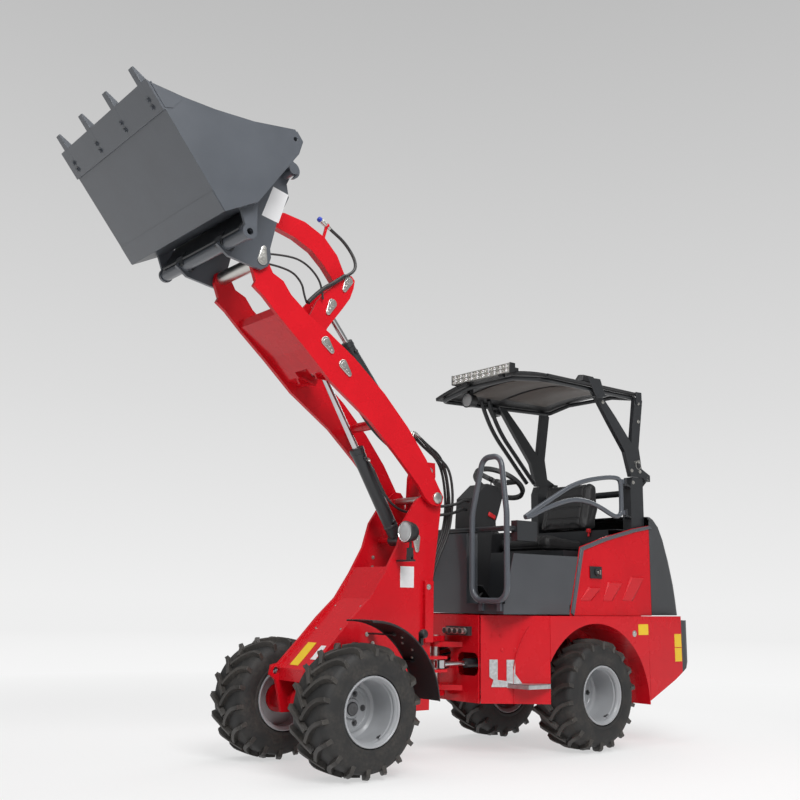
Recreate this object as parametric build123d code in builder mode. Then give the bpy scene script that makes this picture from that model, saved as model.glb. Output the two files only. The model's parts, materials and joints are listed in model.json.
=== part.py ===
from build123d import *
from math import atan2, cos, degrees, hypot, radians, sin
import os

# Compact articulated wheel loader with a folding canopy, its boom raised and its bucket rolled back.
# Millimetres: +X forward, +Y to the left, +Z up. Stations along X are measured from the
# articulation axis, which lies PIVOT_X from the middle of the overall length.

os.makedirs("parts", exist_ok=True)

# ---- driving dimensions ----
PIVOT_X = -221
WHEELBASE = 1740
TRACK = 795
TYRE_R = 330
CARCASS_R = 303
LUGS = 12
RIM_R = 173

# ---- linkage points in the middle plane (station, height) ----
BOOM_PIN = (172, 1461)
HITCH_PIN = (1429, 2625)
LINK_FRONT = (1300, 2950)
ROCKER_PIN = (992, 2259)
ROCKER_MID = (860, 2532)
ROCKER_TOP = (750, 2690)
TILT_BASE = (100, 1640)
LIFT_EYE = (870, 2148)
LIFT_BASE = (300, 1220)
FRONT_AXLE = (WHEELBASE / 2, TYRE_R)
REAR_AXLE = (-WHEELBASE / 2, TYRE_R)
STEER_BASE, STEER_EYE = -385, 130
STEER_Y, STEER_Z = 195, 520

# ---- distances from the middle plane ----
ARM_OUT, ARM_T = 212, 25
TOWER_OUT, TOWER_T = 175, 20
HITCH_OUT, HITCH_T = 237, 20
BUCKET_HALF = 529
ROCKER_OUT, ROCKER_T = 72, 16
CAB_HALF = 480
CHASSIS_HALF = 290
FENDER_HALF = 530
POST_Y = 430

# ---- heights and stations of the cab ----
SILL_Z, FLOOR_Z, RAIL_Z = 803, 861, 1290
CAB_FRONT = -100
SKIN = 5
FOLD = (-1510, 1700)
HOOD_HINGE = (-1472, 1422)
GATE_HINGE = (-1195, 500)

PIN_R = 18
RUN = 0.08


# ---- places and shapes used throughout ----
def at(x, y, z):
    return (PIVOT_X + x, y, z)


def side(y):
    """Side profile plane: sketch x is the station, sketch y the height; it extrudes towards -Y."""
    return Plane(origin=(PIVOT_X, y, 0), x_dir=(1, 0, 0), z_dir=(0, -1, 0))


def level(z):
    return Plane(origin=(PIVOT_X, 0, z), x_dir=(1, 0, 0), z_dir=(0, 0, 1))


def facing(x):
    """Plane across the machine: sketch x is Y, sketch y the height; it extrudes forward."""
    return Plane(origin=(PIVOT_X + x, 0, 0), x_dir=(0, 1, 0), z_dir=(1, 0, 0))


def plate(outline, y_out, thickness, rounding=0, mode=Mode.ADD):
    """Flat plate whose outer face is at y_out and whose thickness runs towards -Y."""
    with BuildSketch(side(y_out)) as profile:
        Polygon(*outline, align=None)
        if rounding:
            fillet(profile.vertices(), rounding)
    extrude(profile.sketch, amount=thickness, mode=mode)


def bar(point, radius, y_low, y_high, mode=Mode.ADD):
    """Round bar along Y through a point of the side view."""
    with Locations(Location(at(point[0], (y_low + y_high) / 2, point[1]), (90, 0, 0))):
        Cylinder(radius, y_high - y_low, mode=mode)


def block(x, y, z, mode=Mode.ADD):
    """Box between two stations, two Y values and two heights."""
    with Locations(at(sum(x) / 2, sum(y) / 2, sum(z) / 2)):
        Box(x[1] - x[0], y[1] - y[0], z[1] - z[0], mode=mode)


def post(x, y, z_low, z_high, radius, mode=Mode.ADD):
    """Upright round bar between two heights."""
    with Locations(at(x, y, (z_low + z_high) / 2)):
        Cylinder(radius, z_high - z_low, mode=mode)


def tube(points, radius, bends, close=False):
    """Bent round tube through points given as (station, y, height)."""
    with BuildLine() as route:
        FilletPolyline(*[at(*p) for p in points], radius=bends, close=close)
    with BuildSketch(Plane(origin=route.line @ 0, z_dir=route.line % 0)) as section:
        Circle(radius)
    sweep(section.sketch, path=route.line)


def finish(built, name):
    built.part.label = name
    export_step(built.part, f"parts/{name}.step")


def reach(start, end):
    """Length of the line between two points of the side view, and its angle."""
    return hypot(end[0] - start[0], end[1] - start[1]), degrees(atan2(end[1] - start[1], end[0] - start[0]))


# =====================================================================================
# Wheels: tyre with chevron lugs, deep-dish rim with hub and nuts
# =====================================================================================
WHEELS = [  # name, station, y
    ("front_left", WHEELBASE / 2, TRACK / 2),
    ("front_right", WHEELBASE / 2, -TRACK / 2),
    ("rear_left", -WHEELBASE / 2, TRACK / 2),
    ("rear_right", -WHEELBASE / 2, -TRACK / 2),
]
LUG_ROOT, LUG_TOP = 292, 324.7
SIDES = 24  # of the carcass's polygon
BANDS = [  # distance from the tyre's middle, radius
    (-150, 236), (-144, 276), (-108, CARCASS_R), (108, CARCASS_R), (144, 276), (150, 236),
]
BARREL_R = 157
FLANGE_V = 136
DISC_V = -44
DISC_T = 8

for name, x, y in WHEELS:
    out = 1 if y > 0 else -1
    hub = Vector(*at(x, y, TYRE_R))
    across = Plane(origin=hub, x_dir=(1, 0, 0), z_dir=(0, out, 0))
    section = Plane(origin=hub, x_dir=(1, 0, 0), z_dir=(0, 0, out))

    with BuildPart() as tyre:
        for v, radius in BANDS:
            with BuildSketch(across.offset(v)):
                RegularPolygon(radius, SIDES)
        loft(ruled=True)
        for row in (-1, 1):
            seats = []
            for k in range(LUGS):
                turn = radians(360 / LUGS * (k + 0.25 * row))
                radial = Vector(cos(turn), 0, sin(turn))
                seats.append(Plane(origin=hub + radial * LUG_ROOT, x_dir=(0, row, 0), z_dir=radial))
            with BuildSketch(*seats):
                Polygon((-8, -36 * row), (60, -16 * row), (144, 34 * row), (144, 62 * row),
                        (56, 16 * row), (-8, -8 * row), align=None)
            extrude(amount=LUG_TOP - LUG_ROOT)
        # bore that the rim fills, with a pocket for each flange
        with BuildSketch(across.offset(-160)):
            RegularPolygon(BARREL_R + 0.5, SIDES, major_radius=False)
        extrude(amount=320, mode=Mode.SUBTRACT)
        with BuildSketch(across.offset(-160), across.offset(FLANGE_V)):
            RegularPolygon(RIM_R + 4, SIDES, major_radius=False)
        extrude(amount=160 - FLANGE_V, mode=Mode.SUBTRACT)
    finish(tyre, f"tyre_{name}")

    with BuildPart() as rim:
        with BuildSketch(section):
            Polygon(
                (BARREL_R, -FLANGE_V), (BARREL_R, FLANGE_V), (RIM_R, FLANGE_V), (RIM_R, 146), (163, 146),
                (147, 100), (147, DISC_V + DISC_T), (50, DISC_V + DISC_T), (50, DISC_V), (147, DISC_V),
                (147, -100), (163, -146), (RIM_R, -146), (RIM_R, -FLANGE_V), align=None,
            )
        revolve(axis=Axis(hub, (0, 1, 0)))
        with BuildSketch(across.offset(DISC_V)):
            Circle(62)
        extrude(amount=20)
        with BuildSketch(across.offset(DISC_V + 20)):
            Circle(44)
        extrude(amount=26, taper=8)
        with BuildSketch(across.offset(DISC_V + DISC_T)):
            with PolarLocations(90, 5):
                RegularPolygon(13, 6)
        extrude(amount=16)
    finish(rim, f"rim_{name}")

# =====================================================================================
# Front frame: tower plates, front axle, mudguards, headlights
# =====================================================================================
TOWER_IN = TOWER_OUT - TOWER_T
TOWER_OUTLINE = [
    (112, 1400), (118, 1480), (150, 1518), (195, 1520), (232, 1490), (300, 1440), (385, 1320), (430, 1177),
    (520, 1025), (620, 883), (740, 776), (850, 663), (985, 530), (1030, 520), (1040, 470), (1000, 440),
    (960, 270), (190, 270), (180, 905),
]
PIVOT_PIN_R = 30
EAR_BORE, EAR_R = (1000, 490), 20
MAIN_PIN_R = 22
AXLE_R = 55
SHAFT_R = 22
HUB_Y = TRACK / 2 - 56

with BuildPart() as tower_plates:
    plate(TOWER_OUTLINE, TOWER_OUT, TOWER_T)
    mirror(about=Plane.XZ)
    bar(BOOM_PIN, MAIN_PIN_R + RUN, -400, 400, mode=Mode.SUBTRACT)
    bar(FRONT_AXLE, AXLE_R + RUN, -400, 400, mode=Mode.SUBTRACT)
    bar(EAR_BORE, EAR_R, -400, 400, mode=Mode.SUBTRACT)
    bar(LIFT_BASE, PIN_R, -400, 400, mode=Mode.SUBTRACT)
finish(tower_plates, "tower_plates")

# folded cover between the plates, set back from their front edges and open above the lift cylinder
with BuildPart() as tower_cover:
    with BuildSketch(side(TOWER_IN)):
        Polygon((966, 440), (968, 500), (590, 872), (478, 1050), (490, 1058), (604, 880), (982, 506),
                (980, 440), align=None)
    extrude(amount=2 * TOWER_IN)
finish(tower_cover, "tower_cover")

# cross plate with the lugs of the tilt cylinder's base, and the lift cylinder's base pin
with BuildPart() as tower_braces:
    block((124, 190), (-TOWER_IN, TOWER_IN), (1318, 1336))
    for outer in (66, -48):
        plate([(64, 1690), (60, 1610), (124, 1336), (190, 1336), (176, 1600), (146, 1690)], outer, 18)
    bar(LIFT_BASE, PIN_R, -TOWER_OUT, TOWER_OUT)
    bar(TILT_BASE, PIN_R + RUN, -100, 100, mode=Mode.SUBTRACT)
    bar(BOOM_PIN, MAIN_PIN_R + RUN, -100, 100, mode=Mode.SUBTRACT)
finish(tower_braces, "tower_braces")

# rear wall and floor of the front frame, with the lugs of the articulation and of the steering rod
with BuildPart() as front_yoke:
    block((192, 770), (-TOWER_IN, TOWER_IN), (270, 284))
    block((180, 192), (-TOWER_IN, TOWER_IN), (270, 800))
    for low in (330, 640):
        with BuildSketch(level(low)):
            Circle(62)
            Polygon((0, -62), (0, 62), (182, 130), (182, -130), align=None)
        extrude(amount=30)
    for low in (STEER_Z - 44, STEER_Z + 28):
        with BuildSketch(level(low)):
            Polygon((STEER_EYE - 30, STEER_Y - 32), (180, 120), (181, 120), (181, TOWER_OUT),
                    (260, TOWER_OUT), (260, STEER_Y + 12), (STEER_EYE + 40, STEER_Y + 32),
                    (STEER_EYE - 30, STEER_Y + 32), align=None)
        extrude(amount=16)
        post(STEER_EYE, STEER_Y, low - 5, low + 21, 14, mode=Mode.SUBTRACT)
    post(0, 0, 250, 750, PIVOT_PIN_R + RUN, mode=Mode.SUBTRACT)
finish(front_yoke, "front_yoke")


def build_axle(centre, name):
    with BuildPart() as axle:
        bar(centre, AXLE_R, -HUB_Y, HUB_Y)
        for end in (-1, 1):
            bar(centre, 78, min(end * (HUB_Y - 16), end * HUB_Y), max(end * (HUB_Y - 16), end * HUB_Y))
        bar(centre, 90, -70, 70)
        bar(centre, SHAFT_R + RUN, -HUB_Y - 10, -HUB_Y + 80, mode=Mode.SUBTRACT)
        bar(centre, SHAFT_R + RUN, HUB_Y - 80, HUB_Y + 10, mode=Mode.SUBTRACT)
    finish(axle, name)


build_axle(FRONT_AXLE, "front_axle")

GUARD_R, GUARD_SKIN = 448, 4
with BuildPart() as mudguards:
    with BuildSketch(side(550)):
        with BuildLine():
            outer = CenterArc(FRONT_AXLE, GUARD_R, 62, 118)
            inner = CenterArc(FRONT_AXLE, GUARD_R - GUARD_SKIN, 62, 118)
            Line(outer @ 0, inner @ 0)
            Line(outer @ 1, inner @ 1)
        make_face()
    extrude(amount=310)
    # brackets that carry the guards on the tower plates
    block((590, 640), (TOWER_OUT, 250), (690, 698))
    block((465, 505), (TOWER_OUT, 250), (550, 558))
    mirror(about=Plane.XZ)
finish(mudguards, "mudguards")

LAMP = (490, 290, 1248)
with BuildPart() as headlights:
    with BuildSketch(facing(LAMP[0] - 60)):
        with Locations((LAMP[1], LAMP[2])):
            Circle(38)
    extrude(amount=90, taper=-8)
    block((400, 440), (TOWER_OUT, LAMP[1]), (1090, 1100))
    block((400, 440), (LAMP[1] - 10, LAMP[1]), (1100, 1240))
    mirror(about=Plane.XZ)
finish(headlights, "headlights")

# =====================================================================================
# Boom with its crossmember, pins and pin retainers
# =====================================================================================
ARM_IN = ARM_OUT - ARM_T
ARM_OUTLINE = [
    (172, 1412), (219, 1423), (267, 1460), (315, 1524), (484, 1688), (673, 1856), (945, 2040), (1125, 2201),
    (1294, 2344), (1398, 2441), (1460, 2484), (1447, 2510), (1478, 2590), (1470, 2645), (1429, 2672),
    (1390, 2652), (1344, 2576), (1277, 2546), (1226, 2481), (1106, 2390), (966, 2313), (792, 2200),
    (575, 2027), (400, 1853), (259, 1680), (165, 1531), (124, 1470), (138, 1426),
]
LUG_IN = 80
ROD_SLOT = 60
with BuildPart() as boom:
    plate(ARM_OUTLINE, ARM_OUT, ARM_T)
    # inner lugs for the rocker and the lift cylinder's rod
    plate([(850, 2080), (830, 2150), (860, 2190), (960, 2290), (1030, 2290), (1060, 2240), (960, 2075)],
          LUG_IN + 16, 16)
    mirror(about=Plane.XZ)
    # folded crossmember along the lower edges
    with BuildSketch(side(ARM_IN)):
        Polygon((1310, 2400), (1300, 2362), (1100, 2215), (985, 2105), (880, 2080), (880, 2090), (980, 2117),
                (1094, 2224), (1290, 2369), (1300, 2402), align=None)
    extrude(amount=2 * ARM_IN)
    # slot through which the lift cylinder's rod swings
    block((870, 1010), (-ROD_SLOT, ROD_SLOT), (2050, 2150), mode=Mode.SUBTRACT)
    bar((540, 1870), 28, -ARM_IN, ARM_IN)
    bar(BOOM_PIN, MAIN_PIN_R + RUN, -400, 400, mode=Mode.SUBTRACT)
    bar(HITCH_PIN, PIN_R + RUN, -400, 400, mode=Mode.SUBTRACT)
    bar(ROCKER_PIN, PIN_R + RUN, -400, 400, mode=Mode.SUBTRACT)
    bar(LIFT_EYE, PIN_R + RUN, -400, 400, mode=Mode.SUBTRACT)
finish(boom, "boom")



def keeper(pin, tail_slope, y_out):
    """Teardrop plate that keeps a pin in, its tail running off at an angle, on a face at y_out."""
    tail = (pin[0] + KEEPER_TAIL * cos(radians(tail_slope)), pin[1] + KEEPER_TAIL * sin(radians(tail_slope)))
    with BuildSketch(side(y_out + KEEPER_T)) as drop:
        with Locations(pin):
            Circle(30)
        with Locations(tail):
            Circle(15)
        make_hull()
    extrude(drop.sketch, amount=KEEPER_T)


KEEPER_T, KEEPER_TAIL = 8, 62
with BuildPart() as boom_pins:
    bar(BOOM_PIN, MAIN_PIN_R, 0, ARM_OUT + 4)
    bar(BOOM_PIN, 34, ARM_OUT, ARM_OUT + 14)
    bar(LIFT_EYE, PIN_R, LUG_IN, ARM_OUT)
    keeper(LIFT_EYE, -40, ARM_OUT)
    keeper(ROCKER_PIN, -40, ARM_OUT)
    mirror(about=Plane.XZ)
finish(boom_pins, "boom_pins")

# =====================================================================================
# Tilt linkage: rocker, curved link, and the pins that they turn on
# =====================================================================================
SPACER_R, COLLAR_R = 52, 48
with BuildPart() as rocker_pin:
    bar(ROCKER_PIN, PIN_R, 0, ARM_OUT)
    # spacer tube between the arm and its lug
    bar(ROCKER_PIN, SPACER_R, LUG_IN + 17, ARM_IN - 1)
    mirror(about=Plane.XZ)
finish(rocker_pin, "rocker_pin")

with BuildPart() as rocker:
    plate([(1045, 2245), (1030, 2300), (1007, 2440), (964, 2527), (905, 2598), (826, 2663), (764, 2730),
           (726, 2728), (702, 2705), (710, 2655), (734, 2590), (783, 2521), (886, 2387), (945, 2270),
           (965, 2215), (1010, 2205)], ROCKER_OUT, ROCKER_T)
    mirror(about=Plane.XZ)
    # spacer tube between the plates, clear of the cylinder
    bar((930, 2400), 20, -ROCKER_OUT + ROCKER_T, ROCKER_OUT - ROCKER_T)
    bar(ROCKER_PIN, 34, -ROCKER_OUT + ROCKER_T, ROCKER_OUT - ROCKER_T)
    bar(ROCKER_PIN, PIN_R + RUN, -100, 100, mode=Mode.SUBTRACT)
    bar(ROCKER_TOP, PIN_R + RUN, -100, 100, mode=Mode.SUBTRACT)
finish(rocker, "rocker")

LINK_HALF, LINK_EYE_HALF = 24, 40
with BuildPart() as link_pin:
    bar(ROCKER_TOP, PIN_R, 0, ROCKER_OUT)
    # collar between the link's eye and the plate
    bar(ROCKER_TOP, COLLAR_R, LINK_EYE_HALF + 1, ROCKER_OUT - ROCKER_T - 1)
    mirror(about=Plane.XZ)
finish(link_pin, "link_pin")

with BuildPart() as tilt_link:
    with BuildSketch(side(LINK_HALF)):
        Polygon((740, 2740), (799, 2850), (895, 2942), (1030, 3000), (1170, 3018), (1300, 2995), (1300, 2905),
                (1215, 2918), (1094, 2890), (975, 2838), (888, 2765), (822, 2690), (790, 2660), (720, 2680),
                align=None)
    extrude(amount=2 * LINK_HALF)
    bar(ROCKER_TOP, 44, -LINK_EYE_HALF, LINK_EYE_HALF)
    bar(LINK_FRONT, 44, -LINK_EYE_HALF, LINK_EYE_HALF)
    bar(ROCKER_TOP, PIN_R + RUN, -100, 100, mode=Mode.SUBTRACT)
    bar(LINK_FRONT, PIN_R + RUN, -100, 100, mode=Mode.SUBTRACT)
finish(tilt_link, "tilt_link")

with BuildPart() as tilt_base_pin:
    bar(TILT_BASE, PIN_R, -66, 66)
finish(tilt_base_pin, "tilt_base_pin")


# =====================================================================================
# Cylinders: a barrel that hangs on its base eye, and a rod that ends in an eye
# =====================================================================================
def build_cylinder(name, base, eye, y, half, barrel_r, rod_r, barrel_length, pin_r, inserted=100,
                   flat=False):
    """Barrel and rod between two points; flat ones lie level, with their pins upright."""
    length, slope = reach(base, eye)
    if flat:
        start = Vector(*at(base[0], y, base[1]))
        along = Vector(1, 0, 0)
        across = Vector(0, 0, 1)
    else:
        start = Vector(*at(base[0], y, base[1]))
        along = Vector(cos(radians(slope)), 0, sin(radians(slope)))
        across = Vector(0, 1, 0)
    end = start + along * length
    axis_plane = Plane(origin=start, x_dir=across, z_dir=along)
    eye_r = pin_r + 18

    with BuildPart() as barrel:
        with BuildSketch(Plane(origin=start - across * half, z_dir=across)):
            Circle(eye_r)
        extrude(amount=2 * half)
        with BuildSketch(axis_plane.offset(eye_r - 8)):
            Circle(barrel_r)
        extrude(amount=barrel_length - eye_r + 8)
        with BuildSketch(axis_plane.offset(eye_r + 20)):
            Circle(rod_r + RUN)
        extrude(amount=barrel_length, mode=Mode.SUBTRACT)
        with BuildSketch(Plane(origin=start - across * (half + 5), z_dir=across)):
            Circle(pin_r + RUN)
        extrude(amount=2 * half + 10, mode=Mode.SUBTRACT)
    finish(barrel, f"{name}_barrel")

    with BuildPart() as rod:
        with BuildSketch(axis_plane.offset(barrel_length - inserted)):
            Circle(rod_r)
        extrude(amount=length - barrel_length + inserted - eye_r + 8)
        with BuildSketch(Plane(origin=end - across * half, z_dir=across)):
            Circle(eye_r)
        extrude(amount=2 * half)
        with BuildSketch(Plane(origin=end - across * (half + 5), z_dir=across)):
            Circle(pin_r + RUN)
        extrude(amount=2 * half + 10, mode=Mode.SUBTRACT)
    finish(rod, f"{name}_rod")


build_cylinder("lift", LIFT_BASE, LIFT_EYE, 0, 45, 40, 18, 600, PIN_R)
build_cylinder("tilt", TILT_BASE, ROCKER_MID, 0, 38, 34, 18, 930, PIN_R)
build_cylinder("steer", (STEER_BASE, STEER_Z), (STEER_EYE, STEER_Z), STEER_Y, 22, 27, 15, 323, 14,
               inserted=125, flat=True)

# =====================================================================================
# Hitch and bucket. Their sketches use a plane on the bucket's back: u runs up it, n away from it.
# =====================================================================================
BACK_FOOT = (1637, 2800)
BACK_TOP = (1409, 3124)
BACK_LENGTH, BACK_SLOPE = reach(BACK_FOOT, BACK_TOP)
U_X, U_Z = cos(radians(BACK_SLOPE)), sin(radians(BACK_SLOPE))


def back_plane(y):
    return Plane(origin=at(BACK_FOOT[0], y, BACK_FOOT[1]), x_dir=(U_X, 0, U_Z), z_dir=(0, -1, 0))


def on_back(u, n):
    return (BACK_FOOT[0] + u * U_X - n * U_Z, BACK_FOOT[1] + u * U_Z + n * U_X)


UPPER_U, UPPER_N = 466, 72
LOWER_TUBE = on_back(-115, 75)
UPPER_TUBE = on_back(UPPER_U, UPPER_N)
UPPER_R = 30
LOWER_HALF = 449
HITCH_LUG_IN = 48
with BuildPart() as hitch:
    with BuildSketch(back_plane(HITCH_OUT)):
        Polygon((-160, 35), (-160, 120), (-95, 255), (-72, 300), (-23, 318), (25, 302), (60, 268), (201, 210),
                (379, 170), (430, 114), (505, 100), (505, 30), align=None)
    extrude(amount=HITCH_T)
    with BuildSketch(back_plane(HITCH_LUG_IN + 18)):
        Polygon((180, 30), (180, 60), (255, 215), (300, 235), (350, 225), (385, 190), (440, 115),
                (505, 100), (505, 30), align=None)
    extrude(amount=18)
    mirror(about=Plane.XZ)
    bar(LOWER_TUBE, 34, -LOWER_HALF, LOWER_HALF)
    for low in (HITCH_LUG_IN, -330):
        bar(UPPER_TUBE, UPPER_R, low, low + 330 - HITCH_LUG_IN)
    with BuildSketch(back_plane(HITCH_OUT - HITCH_T)):
        Polygon((190, 30), (200, 30), (200, 200), (190, 200), align=None)
    extrude(amount=2 * (HITCH_OUT - HITCH_T))
    bar(HITCH_PIN, PIN_R + RUN, -400, 400, mode=Mode.SUBTRACT)
    bar(LOWER_TUBE, PIN_R, -LOWER_HALF - 10, LOWER_HALF + 10, mode=Mode.SUBTRACT)
    bar(LINK_FRONT, PIN_R, -100, 100, mode=Mode.SUBTRACT)
finish(hitch, "hitch")

with BuildPart() as hitch_pins:
    bar(HITCH_PIN, PIN_R, -HITCH_OUT, HITCH_OUT)
    # spacer tube between the arms
    bar(HITCH_PIN, 38, -ARM_IN + 1, ARM_IN - 1)
finish(hitch_pins, "hitch_pins")

SHEET = 10
EDGE = (2246, 3232)
HEEL = (1818, 2704)
BUCKET_TOP = (1387, 3199)
BOTTOM_SLOPE = radians(reach(HEEL, EDGE)[1])
TEETH_Y = (-460, -153, 153, 460)
HOOK_Y, EAR_T = 310, 18


def bottom_plane(y):
    """Plane along the bucket's bottom plate: sketch x runs forward from the edge, y into the bucket."""
    return Plane(origin=at(EDGE[0], y, EDGE[1]), x_dir=(cos(BOTTOM_SLOPE), 0, sin(BOTTOM_SLOPE)), z_dir=(0, -1, 0))


with BuildPart() as bucket:
    with BuildSketch(side(BUCKET_HALF)):
        Polygon(EDGE, HEEL, BACK_FOOT, (BACK_TOP[0], BACK_TOP[1]), BUCKET_TOP, (1439, 3251), (1681, 3217),
                (1899, 3209), (2069, 3215), align=None)
    extrude(amount=SHEET)
    mirror(about=Plane.XZ)
    with BuildSketch(side(BUCKET_HALF)):
        with BuildLine():
            Polyline(EDGE, HEEL, BACK_FOOT, BACK_TOP, BUCKET_TOP, (1425, 3245))
            offset(amount=SHEET, side=Side.RIGHT)
        make_face()
    extrude(amount=2 * BUCKET_HALF)
    # cutting edge and teeth on the bottom plate, drawn along it
    with BuildSketch(bottom_plane(BUCKET_HALF)):
        Polygon((-140, -12), (-140, 0), (0, 0), (18, -12), align=None)
    extrude(amount=2 * BUCKET_HALF)
    for y in TEETH_Y:
        with BuildSketch(bottom_plane(y + 20)):
            Polygon((-60, 10), (30, 22), (100, -4), (100, -12), (-60, -12), align=None)
        extrude(amount=40)
    bar((1434, 3199), 12, -600, 600, mode=Mode.SUBTRACT)
    # hooks over the hitch's upper tube, and ears outside its lower tube
    for y in (HOOK_Y, -HOOK_Y + EAR_T):
        with BuildSketch(back_plane(y)):
            Polygon((UPPER_U - 40, -14), (UPPER_U - 30, UPPER_N), (UPPER_U + 48, UPPER_N), (UPPER_U + 40, 20),
                    (UPPER_U + 4, -30), align=None)
            with Locations((UPPER_U, UPPER_N)):
                Circle(48)
                Circle(UPPER_R + 0.5, mode=Mode.SUBTRACT)
            with Locations((UPPER_U - 40, UPPER_N)):
                Rectangle(80, 2 * UPPER_R + 1, mode=Mode.SUBTRACT)
        extrude(amount=EAR_T)
    for y in (LOWER_HALF + 3 + EAR_T, -LOWER_HALF - 3):
        with BuildSketch(back_plane(y)):
            with Locations((-115, 75)):
                Circle(40)
            Polygon((-149, 95), (-78, 95), (60, -3), (0, -3), (-60, -35), (-90, 10), align=None)
            with Locations((-115, 75)):
                Circle(PIN_R + RUN, mode=Mode.SUBTRACT)
        extrude(amount=EAR_T)
finish(bucket, "bucket")

# =====================================================================================
# Rear frame, axle, engine and lower bodywork
# =====================================================================================
WALL = 10
FRAME_LOW = 300
FRAME_TOP = 795
RAIL_Y = 205
BOX_REAR = -430
BODY_REAR = -1690
FOLDED_WALL = [(CAB_FRONT, CHASSIS_HALF), (-255, 400), (BOX_REAR + 6, 533)]
BELLY = [(-1349, 276), (-1608, 392), (BODY_REAR, 437)]
with BuildPart() as rear_frame:
    # box behind the articulation, whose side walls splay out to the fenders
    block((CAB_FRONT, CAB_FRONT + WALL), (0, CHASSIS_HALF - 8), (FRAME_LOW, FRAME_TOP))
    with BuildSketch(level(FRAME_LOW)):
        with BuildLine():
            Polyline(*FOLDED_WALL)
            offset(amount=WALL, side=Side.LEFT)
        make_face()
    extrude(amount=FRAME_TOP - FRAME_LOW)
    block((BOX_REAR, BOX_REAR + WALL), (RAIL_Y, 520), (FRAME_LOW, FRAME_TOP))
    # rails that run back between the wheels
    plate([(BOX_REAR, FRAME_LOW), (BOX_REAR, FRAME_TOP), (BODY_REAR + 8, FRAME_TOP), (BODY_REAR + 8, 452),
           (-1604, 410), (-1350, 300)], RAIL_Y + WALL, WALL)
    mirror(about=Plane.XZ)
    # openings of the front plate: the steering cylinder's and the hoses'
    with BuildSketch(facing(CAB_FRONT - 5)):
        with Locations((190, 515)):
            RectangleRounded(180, 130, 40)
        with Locations((-33, 541)):
            RectangleRounded(152, 120, 30)
    extrude(amount=WALL + 10, mode=Mode.SUBTRACT)
    block((-750, CAB_FRONT), (-RAIL_Y, RAIL_Y), (FRAME_LOW, FRAME_LOW + WALL))
    block((-1350, -990), (-RAIL_Y, RAIL_Y), (FRAME_LOW, FRAME_LOW + WALL))
    # articulation lugs
    for low in (362, 608):
        with BuildSketch(level(low)):
            Circle(62)
            Polygon((0, -62), (0, 62), (CAB_FRONT + 5, 150), (CAB_FRONT + 5, -150), align=None)
        extrude(amount=30)
    # bracket for the steering cylinder's base, with its pin
    for low in (STEER_Z - 44, STEER_Z + 28):
        block((STEER_BASE - 40, STEER_BASE + 30), (STEER_Y - 35, STEER_Y + 35), (low, low + 16))
    block((BOX_REAR, STEER_BASE - 40), (STEER_Y - 35, STEER_Y + 35), (STEER_Z - 44, STEER_Z + 44))
    bar(REAR_AXLE, AXLE_R + RUN, -400, 400, mode=Mode.SUBTRACT)
    post(0, 0, 250, 750, PIVOT_PIN_R + RUN, mode=Mode.SUBTRACT)
    post(STEER_BASE, STEER_Y, STEER_Z - 39, STEER_Z + 39, 14)
finish(rear_frame, "rear_frame")

with BuildPart() as articulation_pin:
    with Locations(at(0, 0, 500)):
        Cylinder(PIVOT_PIN_R, 350)
finish(articulation_pin, "articulation_pin")

build_axle(REAR_AXLE, "rear_axle")

with BuildPart() as engine:
    block((-1660, -1180), (-190, 190), (445, 1040))
    block((-1180, -1000), (-120, 120), (480, 760))
finish(engine, "engine")

ARCH, ARCH_R = (-840, 252), 498
FENDER_REAR = -1345
SKIN_6 = 6


def arch_point(x, radius):
    """Point of the wheel arch at a station, on an arc of the given radius."""
    return (x, ARCH[1] + (radius ** 2 - (x - ARCH[0]) ** 2) ** 0.5)


with BuildPart() as rear_fenders:
    for inset, mode, depth in ((0, Mode.ADD, FENDER_HALF - RAIL_Y - WALL), (SKIN_6, Mode.SUBTRACT, 400)):
        left, right, top = FENDER_REAR + inset, BOX_REAR - 1 - inset, FRAME_TOP - inset
        foot = arch_point(max(left, ARCH[0] - ARCH_R), ARCH_R + inset)
        front = arch_point(right, ARCH_R + inset)
        with BuildSketch(side(FENDER_HALF - inset)):
            with BuildLine():
                Polyline(front, (right, top), (left, top), (left, foot[1]), foot)
                ThreePointArc(foot, (ARCH[0], ARCH[1] + ARCH_R + inset), front)
            make_face()
        extrude(amount=depth, mode=mode)
    mirror(about=Plane.XZ)
finish(rear_fenders, "rear_fenders")

with BuildPart() as rear_body:
    for y in (FENDER_HALF, SKIN_6 - FENDER_HALF):
        plate([(FENDER_REAR, FRAME_TOP), (BODY_REAR, FRAME_TOP), *reversed(BELLY)], y, SKIN_6)
    # belly plate that rises to the rear
    with BuildSketch(side(FENDER_HALF)):
        with BuildLine():
            Polyline(*BELLY)
            offset(amount=SKIN_6, side=Side.RIGHT)
        make_face()
    extrude(amount=2 * FENDER_HALF)
finish(rear_body, "rear_body")

# counterweight that closes the rear, with a jaw and its hole for a tow pin
TOW_PIN = (-1830, 14)
with BuildPart() as counterweight:
    with BuildSketch(level(430)):
        Polygon((BODY_REAR, -528), (-1745, -520), (-1815, -480), (-1862, -400), (-1868, -300), (-1868, 300),
                (-1862, 400), (-1815, 480), (-1745, 520), (BODY_REAR, 528), align=None)
    extrude(amount=350)
    with BuildSketch(side(600)):
        Polygon((BODY_REAR, 440), (BODY_REAR, 768), (-1860, 768), (-1870, 740), (-1870, 590), (-1820, 500),
                (-1700, 440), align=None)
    extrude(amount=1200, mode=Mode.INTERSECT)
    block((-1900, -1780), (-60, 60), (548, 592), mode=Mode.SUBTRACT)
    post(TOW_PIN[0], 0, 400, 800, TOW_PIN[1], mode=Mode.SUBTRACT)
finish(counterweight, "counterweight")

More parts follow.
